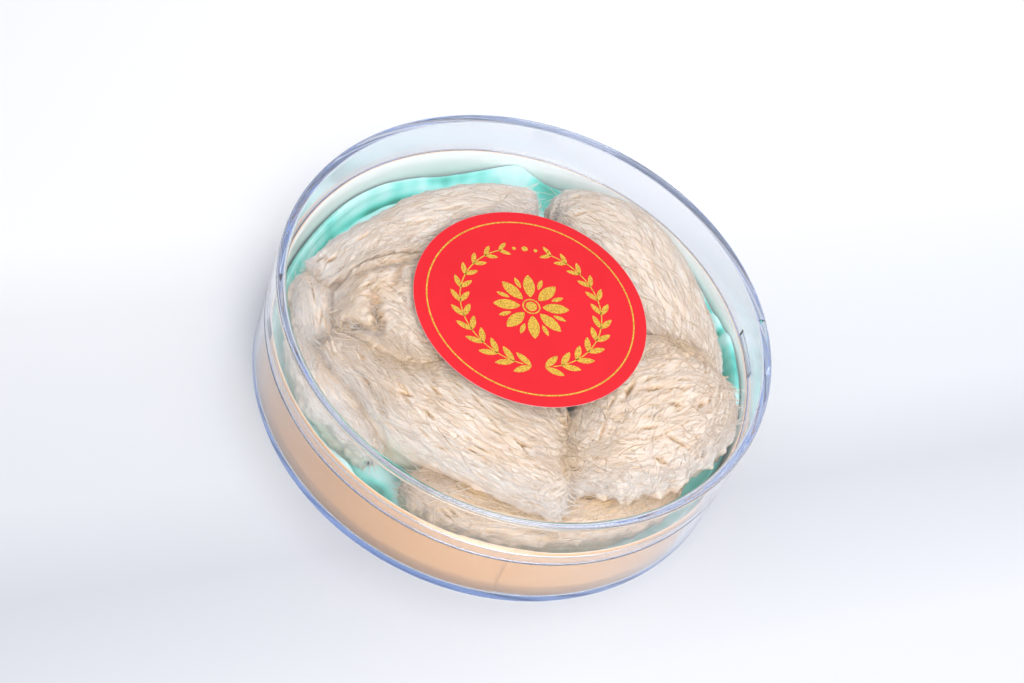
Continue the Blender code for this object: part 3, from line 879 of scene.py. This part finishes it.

# outer and inner are the two edges from the first end to the last; crest is the height of the back
# between them. tan makes a nest browner, and below 0 paler: partly the nests' own colour and partly
# painted light on the nests that lie in shade. wander is how much its fibres wind, ridge how deep their
# locks are cut and ragged how uneven its sides are. fringe, cross and tips are the shares of strands that
# stand off at the rims, that run across the others and that stick out of the two ends. A dent is (x, y,
# reach along, reach across, turn in degrees, depth); a negative depth is a lump, and the narrow ones are
# slits.
nests = {
    "nest_left_wall": {
        "outer": [(-66, 19, 22), (-67.5, 4, 22), (-66.5, -12, 22), (-63, -25, 21.5), (-56, -33.5, 21.5),
                  (-50.5, -38, 20.5), (-45.5, -41, 19.5)],
        "inner": [(-56, 18, 27), (-53, 5, 28), (-50, -9, 28), (-46, -19, 27), (-42.5, -28, 25),
                  (-41, -34, 23), (-40.5, -38.5, 21)],
        "crest": [26, 28.5, 29, 28.5, 26.5, 23, 18.5], "floor": 9, "seed": 11,
        "strands": 1700, "tan": -0.10, "wander": 16, "ridge": 0.6, "ragged": 1.1,
        "fringe": 0.22, "cross": 0.08, "tips": 0.08,
        "dents": [(-62, 8, 4, 0.35, 95, 1.3), (-60, -2, 3, 0.3, 80, 1.2), (-57, 12, 2, 0.3, 85, 1.2)],
        "pits": 60,
    },
    "nest_front_low": {
        "outer": [(-35.5, -53, 18), (-25, -61.5, 19.8), (-6, -65.8, 21), (14, -65.3, 21), (29, -60, 20.8),
                  (41, -53, 20.6), (49, -44, 20.4)],
        "inner": [(-35, -46, 19.5), (-17, -46.5, 23.5), (-2, -48, 24.5), (14, -46, 24.5), (27, -42, 23.5),
                  (37, -38, 22.5), (46, -34, 21)],
        "crest": [19.5, 24, 26, 26.5, 26, 24.5, 22], "floor": 9, "seed": 12,
        "strands": 1700, "tan": 0.24, "wander": 34, "ridge": 0.5, "ragged": 1.3,
        "fringe": 0.25, "cross": 0.25, "tips": 0.10, "dents": [], "pits": 70,
    },
    "nest_back_right": {
        "outer": [(15.5, 54.5, 28), (26, 57.5, 28.5), (39.5, 53.5, 29), (47.5, 47.5, 29.5),
                  (53, 38, 29.5), (58, 26, 29.5), (61, 12, 29.5), (62.3, -2, 29.5), (62, -15, 28)],
        "inner": [(14, 41, 32), (16, 31, 35), (20, 22, 36.8), (25, 13, 37.4), (29, 6, 37.6),
                  (34, -1, 37.6), (41, -6, 37.2), (49, -10, 36.2), (56, -15, 33)],
        "crest": [31, 35, 37.2, 38.0, 38.2, 38.2, 37.9, 36.6, 32.5], "floor": 10, "seed": 13,
        "strands": 2100, "tan": -0.08, "wander": 26, "ridge": 0.3, "ragged": 1.5,
        "fringe": 0.20, "cross": 0.12, "tips": 0.03,
        "dents": [], "pits": 160,
    },
    "nest_front_right": {
        "outer": [(4, -55, 28.5), (18, -55.5, 27.5), (32, -53.5, 27), (43, -48.5, 27), (52, -42.5, 27.5),
                  (60, -35, 28.5), (64.5, -26, 29.5)],
        "inner": [(5.5, -45, 34.2), (11, -33, 35), (18, -19.5, 36.6), (27, -10, 37.4), (39, -4.5, 37.8),
                  (52, -8, 37), (60.5, -17, 34)],
        "crest": [35.5, 37.0, 37.8, 38.2, 38.4, 37.8, 35], "floor": 10, "seed": 14,
        "strands": 3500, "tan": 0.0, "wander": 24, "ridge": 0.3, "ragged": 1.8,
        "fringe": 0.20, "cross": 0.14, "tips": 0.12,
        "dents": [(28.1, -24.9, 3.4, 0.7, 60, 2.2), (35.3, -24.2, 2.6, 0.7, 10, 2.0),
                  (41.8, -28.8, 2.2, 0.5, 0, 2.0), (45, -20, 2.4, 0.5, 0, 1.8),
                  (44, -23, 2.0, 0.5, 5, 1.8), (32.6, -37.3, 2.2, 0.6, 15, 1.8),
                  (36.3, -45.9, 2.6, 0.6, -10, 1.6), (22, -30, 2.6, 0.5, 60, 1.6),
                  (50, -28, 1.6, 0.6, 45, 1.8), (42, -40, 3.4, 0.7, -15, 1.8),
                  (51.7, -40.6, 1.2, 0.8, 60, 4.0), (49, -42.0, 1.0, 0.6, 30, 3.5),
                  (18, -40, 4, 0.7, 70, 1.0), (50, -18, 6, 5, 0, -0.8), (28, -44, 8, 4, -10, -0.8)],
        "pits": 330,
    },
    "nest_front_left": {
        "outer": [(-62.5, -13, 30.5), (-58, -20.5, 29.5), (-50, -30, 28.5), (-41.5, -39, 28),
                  (-29, -47, 27.5), (-18, -53, 27), (-8, -58.5, 26.5), (1, -62.5, 26), (7.5, -64, 25.5)],
        "inner": [(-59, -10, 33), (-51, -13.5, 34.4), (-42, -19, 34.6), (-33, -20.5, 35.4),
                  (-24, -18.5, 36.4), (-13, -19.5, 37), (-2, -25, 36.5), (8.5, -32, 35.2),
                  (11.5, -45, 32.5)],
        "crest": [33, 34, 35.6, 37, 38.2, 38.0, 37.4, 36.2, 33.5], "floor": 11, "seed": 15,
        "strands": 3600, "tan": 0.0, "wander": 12, "ridge": 0.35, "ragged": 0.7,
        "fringe": 0.09, "cross": 0.07, "tips": 0.13,
        "dents": [(-59.5, -15, 3.0, 2.5, 0, -1.6), (-46, -17, 4.0, 0.8, -35, 1.6),
                  (-53.5, -27.5, 14, 1.4, -58, -1.6), (-49.5, -27, 11, 0.9, -55, 1.0),
                  (-55.3, -25.3, 2.4, 0.4, -48, 2.2), (-38.5, -32.1, 1.5, 0.6, -25, 2.4),
                  (-45.1, -37.1, 2.2, 0.4, -42, 2.0), (-32, -38.2, 1.6, 0.5, -45, 2.0),
                  (-30, -31, 2.4, 0.4, -50, 1.6), (-24, -28, 2.6, 0.4, -55, 1.5),
                  (-36, -26, 3.4, 0.4, -55, 1.3), (-18, -34, 3.0, 0.4, -50, 1.4),
                  (-14, -40, 4.0, 0.35, -48, 1.2), (-6, -47, 4.0, 0.35, -52, 1.2),
                  (-56, -18, 4.2, 3.0, -50, -1.0), (6, -31, 2.2, 0.8, 100, 3.0),
                  (9, -37, 3.0, 0.6, 95, 2.4)],
        "pits": 330,
    },
    "nest_left_folded": {
        "outer": [(-56, 4, 31.5), (-50.5, 12, 34), (-43, 16, 36), (-34, 18.2, 37), (-24, 18.5, 37.2),
                  (-14, 14, 36.5)],
        "inner": [(-57, -8, 30.5), (-51.5, -12.5, 33), (-46, -16, 34.8), (-38.5, -21, 35.5),
                  (-30.5, -20.5, 36.5), (-22, -15.5, 37)],
        "crest": [33, 35.8, 37.4, 38.2, 38.3, 37.4], "floor": 13, "seed": 16,
        "strands": 1500, "tan": 0.02, "wander": 40, "ridge": 0.4, "ragged": 1.3,
        "fringe": 0.14, "cross": 0.30, "tips": 0.06,
        "dents": [(-45.5, -5, 6.0, 1.5, 95, 3.0), (-51, -8.5, 6.0, 1.4, -25, 2.8),
                  (-41, 13.6, 10, 1.6, 18, 2.8), (-47.6, 5.1, 1.8, 0.45, 30, 1.6),
                  (-49, 1, 1.4, 0.4, 10, 1.5), (-51, -2, 3, 4, 0, -0.9), (-37, -8, 6, 9, 10, -1.0),
                  (-39, 9, 6, 1.0, 70, 1.0), (-53, -9, 1.8, 0.5, 0, 1.4), (-30, 4, 4, 0.4, 80, 0.9)],
        "pits": 50,
    },
    "nest_back_left": {
        "outer": [(-64.5, 19, 26), (-57, 26, 26), (-48.5, 33, 25.5), (-40, 40.5, 25), (-33, 46, 25),
                  (-23, 51, 25), (-12, 55, 25), (0, 57, 25.5), (12.5, 57.5, 26)],
        "inner": [(-59.5, 9, 29), (-51.5, 13, 33), (-44.5, 16.8, 35), (-36.5, 18.8, 36), (-28, 20, 36.5),
                  (-19, 22, 36.5), (-10, 27, 36.5), (0, 34, 36), (10, 43, 32)],
        "crest": [28.5, 32.5, 35.5, 37.6, 38.2, 38.2, 37.5, 35, 30], "floor": 10, "seed": 17,
        "strands": 2000, "tan": -0.12, "wander": 14, "ridge": 0.35, "ragged": 1.4,
        "fringe": 0.18, "cross": 0.10, "tips": 0.04,
        "dents": [(-60, 19, 1.3, 0.8, 30, 3.4), (-57, 17.5, 1.2, 0.7, 20, 3.0),
                  (-61, 21.5, 1.2, 0.7, 30, 3.0), (-22, 36, 5, 0.5, 25, 1.0), (-30, 30, 4, 0.5, 30, 1.2),
                  (-48, 24, 3, 0.5, 35, 1.4)],
        "pits": 200,
    },
}


def nestForm(values, look):
    # the smooth form as a grid of points in mm: rows along the nest, columns once round it
    outer, inner = values["outer"], values["inner"]
    length = np.linalg.norm(np.diff(np.array(outer, float), axis=0), axis=1).sum()
    rows = int(length / look["row"]) + 1
    places = np.linspace(0, 1, rows)
    places = places - look["endRows"] * np.sin(math.tau * places)
    rails = through(outer, places), through(inner, places), through(values["crest"], places)[:, 0]
    # columns: sparse under the nest, dense on its top and sides
    stops, counts = (0, 0.13, 0.27, 0.73, 0.87, 1.0), (5, 24, 108, 24, 5)
    spans = [np.linspace(a, b, count)[:-1] for a, b, count in zip(stops, stops[1:], counts)]
    turn = np.concatenate(spans + [[1.0]])
    grid = np.zeros((rows, len(turn), 3))
    low = values["floor"]
    for i in range(rows):
        out, inn, crest = rails[0][i], rails[1][i], rails[2][i]
        # (share of the width, height): from under the middle up the outer side, over and down the inner
        ring = [(0.5, low), (0.16, low), (0.03, (out[2] + low) / 2), (0.0, out[2]),
                (0.18, out[2] + (crest - out[2]) * 0.72), (0.5, crest),
                (0.82, inn[2] + (crest - inn[2]) * 0.72), (1.0, inn[2]),
                (0.98, (inn[2] + low) / 2), (0.84, low)]
        ring = np.array([(*(out[:2] + (inn[:2] - out[:2]) * share), z) for share, z in ring])
        section = through(ring, turn, closed=True)
        middle = ring.mean(axis=0)
        close = min(1.0, places[i] / look["endClose"], (1 - places[i]) / look["endClose"])
        grid[i] = middle + (section - middle) * math.sqrt(max(0.0, 1 - (1 - close) ** 2))
    return grid


def gridFrames(grid):
    # unit normals, and the mm that one row and one column step cover
    along, around = np.gradient(grid, axis=0), np.gradient(grid, axis=1)
    around[:, 0] = around[:, -1] = (grid[:, 1] - grid[:, -2]) / 2
    normal = np.cross(along, around)
    normal /= np.maximum(np.linalg.norm(normal, axis=2), 1e-9)[..., None]
    middle = grid.mean(axis=(0, 1))
    if ((grid - middle) * normal).sum() < 0:
        normal = -normal
    return normal, np.linalg.norm(along, axis=2), np.linalg.norm(around, axis=2)


def openPits(s, across, values, look, chance):
    # depths in mm of narrow pits between the fibres; s and across are places along and across these
    rows, columns = s.shape
    opened = np.zeros_like(s)
    for _ in range(values["pits"]):
        i = chance.integers(6, rows - 6)
        j = int(columns * chance.uniform(*look["pitAround"]))
        reach, wide, depth = (chance.uniform(*span) for span in look["pits"])
        apart = ((s - s[i, j]) / reach) ** 2 + ((across - across[i, j]) / wide) ** 2
        opened = np.maximum(opened, depth * np.exp(-apart))
    return opened


def addDents(grid, upward, values, look, height, pale, opened):
    # the listed dents and lumps change the height and tone, and the slits are opened
    edge = 0.35 * patches(grid[..., 0] / 1.5, grid[..., 1] / 1.5, values["seed"] + 7)
    for x, y, reach, wide, lean, depth in values["dents"]:
        c, q = math.cos(math.radians(lean)), math.sin(math.radians(lean))
        dx, dy = grid[..., 0] - x, grid[..., 1] - y
        slit = wide < look["slitBelow"]
        if slit:
            wide = wide * look["slitShare"]
        apart = ((dx * c + dy * q) / reach) ** 2 + ((-dx * q + dy * c) / wide + edge) ** 2
        near = depth * np.exp(-apart) * upward
        if slit:
            opened = np.maximum(opened, near)
        else:
            height = height - near
            # painted shade in the dents and a painted highlight on the lumps
            pale = pale - np.where(near > 0, look["dentShade"], look["lumpHighlight"]) * near
    return height, pale, opened


def floorShade(heights, values, look):
    # painted shade: how much darker and browner points at these heights are, most at the nest's floor
    return look["floorShade"] * (1 - np.clip((heights - values["floor"]) / look["floorReach"], 0, 1))


def roughenNest(grid, values, look, chance):
    # the relief in mm, how pale each point is with its painted shade, its place along the fibres, and where
    # no strand bridges it
    normal, stepAlong, stepAround = gridFrames(grid)
    seed, bend = values["seed"], min(values["wander"], look["mostWinding"]) / 10.0
    s = np.cumsum(np.repeat(stepAlong.max(axis=1)[:, None], grid.shape[1], axis=1), axis=0)
    w = np.cumsum(stepAround, axis=1)
    across = w + bend * patches(s / 15, w / 9, seed) + 0.45 * bend * patches(s / 6, w / 4.5, seed + 1)
    swell = patches(s / 15, w / 9, seed + 2) + 0.5 * patches(s / 7, w / 4, seed + 12)
    fine = patches(s / 4.0, across / 0.45, seed + 5)
    worn = 0.5 + 0.5 * patches(s / 10, w / 7, seed + 6)        # where the locks stand out more
    # 1 on the outer side and 0 from a little before the crest
    outward = np.clip((0.42 - np.arange(grid.shape[1]) / grid.shape[1]) / 0.2, 0, 1)
    height = look["swell"] * swell + look["fine"] * fine
    pale = look["bodyTone"] + look["outward"] * outward + look["fineTone"] * fine
    for i, size in enumerate(look["locks"]):
        lock = 1 - 2 * np.abs(patches(s / size["length"], across / size["width"], seed + 3 + i))
        groove = np.clip(-lock - size["start"], 0, 1) * (size["least"] + worn)
        height = height + values["ridge"] * (size["higher"] * lock - size["deeper"] * groove)
        # painted highlight on the backs of the locks and painted shade in their grooves
        pale = pale + size["paler"] * lock - values["ridge"] * size["darker"] * groove
    opened = openPits(s, across, values, look, chance)
    upward = np.clip(normal[..., 2] * 1.6 - 0.3, 0, 1)
    height, pale, opened = addDents(grid, upward, values, look, height, pale, opened)
    height = height - opened
    # painted shade in the slits and pits
    pale = pale - np.minimum(look["slitShade"] * opened, look["slitMost"])
    pale -= floorShade(grid[..., 2], values, look)
    side = np.clip(1 - np.abs(normal[..., 2]) * 1.4, 0, 1)
    height += values["ragged"] * side * (0.8 * patches(s / 4.0, w / 4.0, seed + 8)
                                         + 0.6 * patches(s / 1.7, w / 2.4, seed + 9))
    fade = np.clip(stepAround / 0.12, 0, 1)       # the closed ends stay smooth
    rough = grid + normal * (height * fade)[..., None]
    heading = np.gradient(grid, axis=0)
    heading /= np.maximum(np.linalg.norm(heading, axis=2), 1e-6)[..., None]
    toEnd = np.clip(1 - np.minimum(s, s[-1:] - s) / 9, 0, 1) * patches(w / 3.5, s / 30, seed + 20)
    rough += heading * (look["endReach"] * toEnd)[..., None]
    rough[..., 2] = np.minimum(rough[..., 2], look["top"] - 0.3)
    flow = np.stack([s, across, np.full_like(s, seed * 7.0)], axis=2)
    return rough, pale, flow, opened


def pressTree(name, forms):
    # points on the other nests' smooth sides and tops, to find where this one is pressed against them
    others = [form[::2, 20:-20:3].reshape(-1, 3) for other, form in forms.items() if other != name]
    points = np.concatenate(others)
    tree = KDTree(len(points))
    for i, point in enumerate(points):
        tree.insert(point, i)
    tree.balance()
    return tree


def pressedShade(tree, points, look):
    # painted shade: how much darker and browner each point is, in 0 to pressShade
    apart = np.array([tree.find(point)[2] for point in points.reshape(-1, 3)]).reshape(points.shape[:-1])
    return look["pressShade"] * np.exp(-(apart / look["press"]) ** 2)


def spread(chance, values, count):
    # random sizes; the values are the shape and scale of their spread, and the least and most of them
    shape, scale, least, most = values
    return chance.gamma(shape, scale, count).clip(least, most)


def strandRoots(rows, columns, count, values, look, chance):
    # where the strands start, in rows and columns, and which ones are at a rim, an end or the last end
    fringe = chance.random(count) < values["fringe"]
    tips = ~fringe & (chance.random(count) < values["tips"])
    far = chance.random(count) < 0.5
    fromLast = 1 - chance.uniform(*look["endRoots"], count)
    fromFirst = chance.uniform(*look["endRoots"], count)
    anywhere = chance.uniform(0, 1, count)
    u = np.where(tips, np.where(far, fromLast, fromFirst), anywhere) * (rows - 3) + 1
    t = chance.uniform(*look["rootAround"], count)
    outer = chance.random(count) < look["outerShare"]
    rims = [chance.normal(rim, look["rimSpread"], count) for rim in look["rims"]]
    t = np.where(fringe, np.where(outer, *rims), t) * (columns - 1)
    return u, t, fringe, tips, far


def strandPaths(grid, opened, values, look, chance):
    # routes of the loose strands over the body, in mm: strands by points by 3
    wanted, points = values["strands"], look["strandPoints"]
    count = int(wanted * look["strandSpare"])
    normal, stepAlong, stepAround = gridFrames(grid)
    smooth = grid.copy()
    for _ in range(3):                            # strands span the grooves
        smooth[1:-1, 1:-1] = (smooth[:-2, 1:-1] + smooth[2:, 1:-1] + smooth[1:-1, :-2] + smooth[1:-1, 2:]
                              + 2 * smooth[1:-1, 1:-1]) / 6
    rows, columns = grid.shape[:2]
    u, t, fringe, tips, far = strandRoots(rows, columns, count, values, look, chance)
    lengths = spread(chance, look["strandLengths"], count)
    lengths = np.where(fringe | tips, lengths * look["shortShare"], lengths)
    step = lengths / (points - 1)
    crossing = chance.random(count) < values["cross"]
    aslant = chance.uniform(-look["crossTurn"], look["crossTurn"], count)
    turn = np.radians(np.where(crossing, aslant, chance.normal(0, look["turnSpread"], count)))
    turn += np.where(chance.random(count) < 0.5, 0, np.pi)
    turn = np.where(fringe, chance.uniform(-np.pi, np.pi, count), turn)
    bend = np.radians(chance.normal(0, look["bendSpread"], count))
    lift = spread(chance, look["strandLifts"], count)
    loose = chance.random(count) < look["looseShare"]
    rimFlare, looseFlare = (chance.uniform(*look[key], count) for key in ("rimFlare", "looseFlare"))
    flare = np.where(fringe, rimFlare, np.where(loose, looseFlare, 0))
    heading = readGrid(np.gradient(smooth, axis=0), u, t) * np.where(far, 1, -1)[:, None]
    heading /= np.maximum(np.linalg.norm(heading, axis=1), 1e-6)[:, None]
    heading += readGrid(normal, u, t) * 0.5 + chance.normal(0, 0.3, heading.shape)
    root = readGrid(smooth, u, t)
    route = np.zeros((count, points, 3))
    deepest = np.zeros(count)
    for k in range(points):
        spot, up = readGrid(smooth, u, t), readGrid(normal, u, t)
        deepest = np.maximum(deepest, readGrid(opened, u, t))
        share = k / (points - 1)
        rise = look["rest"] + lift * math.sin(math.pi * share) + flare * share ** 2
        rise = rise - look["dip"] * abs(2 * share - 1) ** 3
        straight = root + heading * (step * k)[:, None] * 0.5
        route[:, k] = np.where(tips[:, None], straight, spot + up * rise[:, None])
        sway = np.radians(values["wander"]) * patches(u / 30, t / 20, values["seed"] + 9)
        angle = turn + sway + bend * k
        lengthU = np.maximum(readGrid(stepAlong, u, t), 0.2)
        lengthT = np.maximum(readGrid(stepAround, u, t), 0.12)
        u = np.clip(u + step * np.cos(angle) / lengthU, 0.2, rows - 1.2)
        t = np.clip(t + step * np.sin(angle) / lengthT, 0.14 * columns, 0.86 * columns)
    route += chance.normal(0, 0.05, route.shape)
    route[..., 2] = np.minimum(route[..., 2], look["top"] - 0.15)
    return route[np.flatnonzero(tips | fringe | (deepest < look["covered"]))[:wanted]]


def strandMesh(name, route, radius, sides):
    # tapered tubes with a few sides along the routes
    section = bpy.data.curves.new("section", "CURVE")
    side = section.splines.new("POLY")
    side.points.add(sides - 1)
    for i, point in enumerate(side.points):
        point.co = (mm * math.cos(math.tau * i / sides), mm * math.sin(math.tau * i / sides), 0, 1)
    side.use_cyclic_u = True
    sectionObject = bpy.data.objects.new("section", section)
    curve = bpy.data.curves.new(name, "CURVE")
    curve.dimensions = "3D"
    curve.bevel_mode = "OBJECT"
    curve.bevel_object = sectionObject
    count, points = route.shape[:2]
    taper = np.sin(np.linspace(0.12, 0.88, points) * np.pi) ** 0.6
    placed = np.ones((count, points, 4))
    placed[..., :3] = route * mm
    for i in range(count):
        spline = curve.splines.new("POLY")
        spline.points.add(points - 1)
        spline.points.foreach_set("co", placed[i].ravel())
        spline.points.foreach_set("radius", taper * radius[i])
    holder = bpy.data.objects.new(name, curve)
    bpy.context.scene.collection.objects.link(holder)
    bpy.context.view_layer.update()
    mesh = bpy.data.meshes.new_from_object(holder.evaluated_get(bpy.context.evaluated_depsgraph_get()))
    bpy.data.objects.remove(holder)
    bpy.data.objects.remove(sectionObject)
    return mesh


def driedNest(name, look, glowShare):
    # dried strands of clear gum: ivory where they lie thick, tan painted shade in the slits between them, a
    # faint waxy gloss and a warm glow from inside
    material, tree, shader = newMaterial(name, Roughness=0.5)
    pale = addNode(tree, "ShaderNodeAttribute", {"attribute_name": "pale"})
    flow = addNode(tree, "ShaderNodeAttribute", {"attribute_name": "flow"})
    coords = addNode(tree, "ShaderNodeTexCoord")
    tone = pale.outputs["Fac"]

    def addTone(fac, low, high, start=0.0, end=1.0, clamp=False):
        # the tone with a share of a pattern added
        part = addNode(tree, "ShaderNodeMapRange", {"clamp": clamp}, {
            "Value": fac, "From Min": start, "From Max": end, "To Min": low, "To Max": high})
        return addNode(tree, "ShaderNodeMath", {"operation": "ADD"}, {
            0: tone, 1: part.outputs["Result"]}).outputs["Value"]
    heights = []
    for across, along, (share, slit) in ((look["fibre"], look["fibreLength"], look["fibreTones"]),
                                         (look["lock"], look["lockLength"], look["lockTones"])):
        place = addNode(tree, "ShaderNodeMapping", inputs={
            "Vector": flow.outputs["Vector"], "Scale": (1 / along, 1 / across, 1.0)})
        streak = addNode(tree, "ShaderNodeTexNoise", inputs={
            "Vector": place.outputs["Vector"], "Scale": 1.0, "Detail": 2.0}).outputs["Fac"]
        tone = addTone(streak, -share, share)
        tone = addTone(streak, -slit, 0.0, 0.31, 0.37, True)      # painted shade of the slits between fibres
        heights.append(streak)
    for size, detail, share in ((2 * look["fibre"], 3.0, look["grainTone"]),
                                (look["patch"], 2.0, look["patchTone"])):
        grain = addNode(tree, "ShaderNodeTexNoise", inputs={
            "Vector": coords.outputs["Object"], "Scale": 1 / (size * mm), "Detail": detail})
        tone = addTone(grain.outputs["Fac"], -share, share)
    ramp = addNode(tree, "ShaderNodeValToRGB", inputs={"Fac": tone})
    # the lowest stops, holeShade and creviceShade, are painted shade
    setRamp(ramp, [(0.0, look["holeShade"]), (0.20, look["creviceShade"]), (0.42, look["shade"]),
                   (0.62, look["middle"]), (0.80, look["strand"]), (1.0, look["light"])])
    low = addNode(tree, "ShaderNodeBump", inputs={
        "Height": heights[1], "Strength": 0.4, "Distance": 0.12 * mm})
    bump = addNode(tree, "ShaderNodeBump", inputs={
        "Height": heights[0], "Strength": 0.4, "Distance": 0.11 * mm, "Normal": low.outputs["Normal"]})
    tree.links.new(ramp.outputs["Color"], shader.inputs["Base Color"])
    tree.links.new(bump.outputs["Normal"], shader.inputs["Normal"])
    shader.inputs["Specular IOR Level"].default_value = 0.35
    shader.inputs["Subsurface Weight"].default_value = glowShare
    shader.inputs["Subsurface Radius"].default_value = look["glow"]
    shader.inputs["Subsurface Scale"].default_value = mm
    return material


def strandAttributes(route, tree, values, look, chance):
    # how pale each point of each strand is, with its painted shade, and its place along the fibres
    tones = look["strandTone"] + look["strandScatter"] * chance.normal(0, 1, len(route))
    # painted shade towards the floor, near the tops and where nests press together
    pale = tones.clip(0.5, 1)[:, None] - floorShade(route[..., 2], values, look)
    nearTop = np.clip((route[..., 2] - look["topFrom"]) / (look["topTo"] - look["topFrom"]), 0, 1)
    pale -= look["topShade"] * nearTop + pressedShade(tree, route, look)
    flow = np.zeros(route.shape)
    flow[..., 0] = np.linspace(0, 7, route.shape[1])[None, :]
    flow[..., 1] = chance.uniform(100, 900, len(route))[:, None]
    return pale, flow


def makeNest(name, values, look, materials, forms):
    # one nest: its felted body and its loose strands, with the tone, painted shade included, and the
    # fibres' run as attributes
    chance = np.random.default_rng(values["seed"])
    grid, pale, flow, opened = roughenNest(forms[name], values, look, chance)
    tree = pressTree(name, forms)
    # painted shade where this nest presses against the others
    pale = pale - pressedShade(tree, grid, look)
    shape, order = gridBody(grid)
    bodyCount = len(shape.verts)
    route = strandPaths(grid, opened, values, look, chance)
    radius = look["strandRadius"] * spread(chance, look["strandThickness"], len(route))
    strandPale, strandFlow = strandAttributes(route, tree, values, look, chance)
    sides = look["strandSides"]
    shape.from_mesh(strandMesh(name + "_strands", route, radius, sides))
    shape.verts.index_update()
    for face in shape.faces:
        face.material_index = 1 if face.verts[0].index >= bodyCount else 0
    # each of a strand's points has a ring of vertices
    strandPale, strandFlow = (np.repeat(part, sides, axis=0) for part in (
        strandPale.reshape(-1), strandFlow.reshape(-1, 3)))
    # tan: the nest's own colour, and painted light on the nests in shade
    pale = np.concatenate([pale[order[:, 0], order[:, 1]], strandPale]) - values["tan"]
    flow = np.concatenate([flow[order[:, 0], order[:, 1]], strandFlow])
    paleLayer = shape.verts.layers.float.new("pale")
    flowLayer = shape.verts.layers.float_vector.new("flow")
    for i, vert in enumerate(shape.verts):
        vert[paleLayer] = pale[i]
        vert[flowLayer] = flow[i]
    bmesh.ops.remove_doubles(shape, verts=shape.verts[:bodyCount], dist=1e-6)
    bmesh.ops.recalc_face_normals(shape, faces=shape.faces)
    triangles = sum(len(face.verts) - 2 for face in shape.faces)
    finishPiece("dried_" + name, shape, materials, None, [name])
    print(name, triangles, "triangles")
    return triangles


makeCamera(cameraSettings)
makeFloor(stageSettings)
makeSky(stageSettings)
makeLamps(stageSettings)
print("camera, floor and lights made")
plastic = clearPolystyrene(plasticSettings)
makeLid(boxSizes, plastic)
makeBase(boxSizes, plastic)
makeBand(bandSettings)
makeLabel(labelSettings)
makeFoil(labelSettings)
makeSatin(satinSettings)
nestMaterials = [driedNest("dried_felted_gum", nestLook, nestLook["bodyGlow"]),
                 driedNest("dried_loose_strands", nestLook, nestLook["strandGlow"])]
nestForms = {nestName: nestForm(nestValues, nestLook) for nestName, nestValues in nests.items()}
nestTriangles = sum(makeNest(nestName, nestValues, nestLook, nestMaterials, nestForms)
                    for nestName, nestValues in nests.items())
print("nests made:", nestTriangles, "triangles")
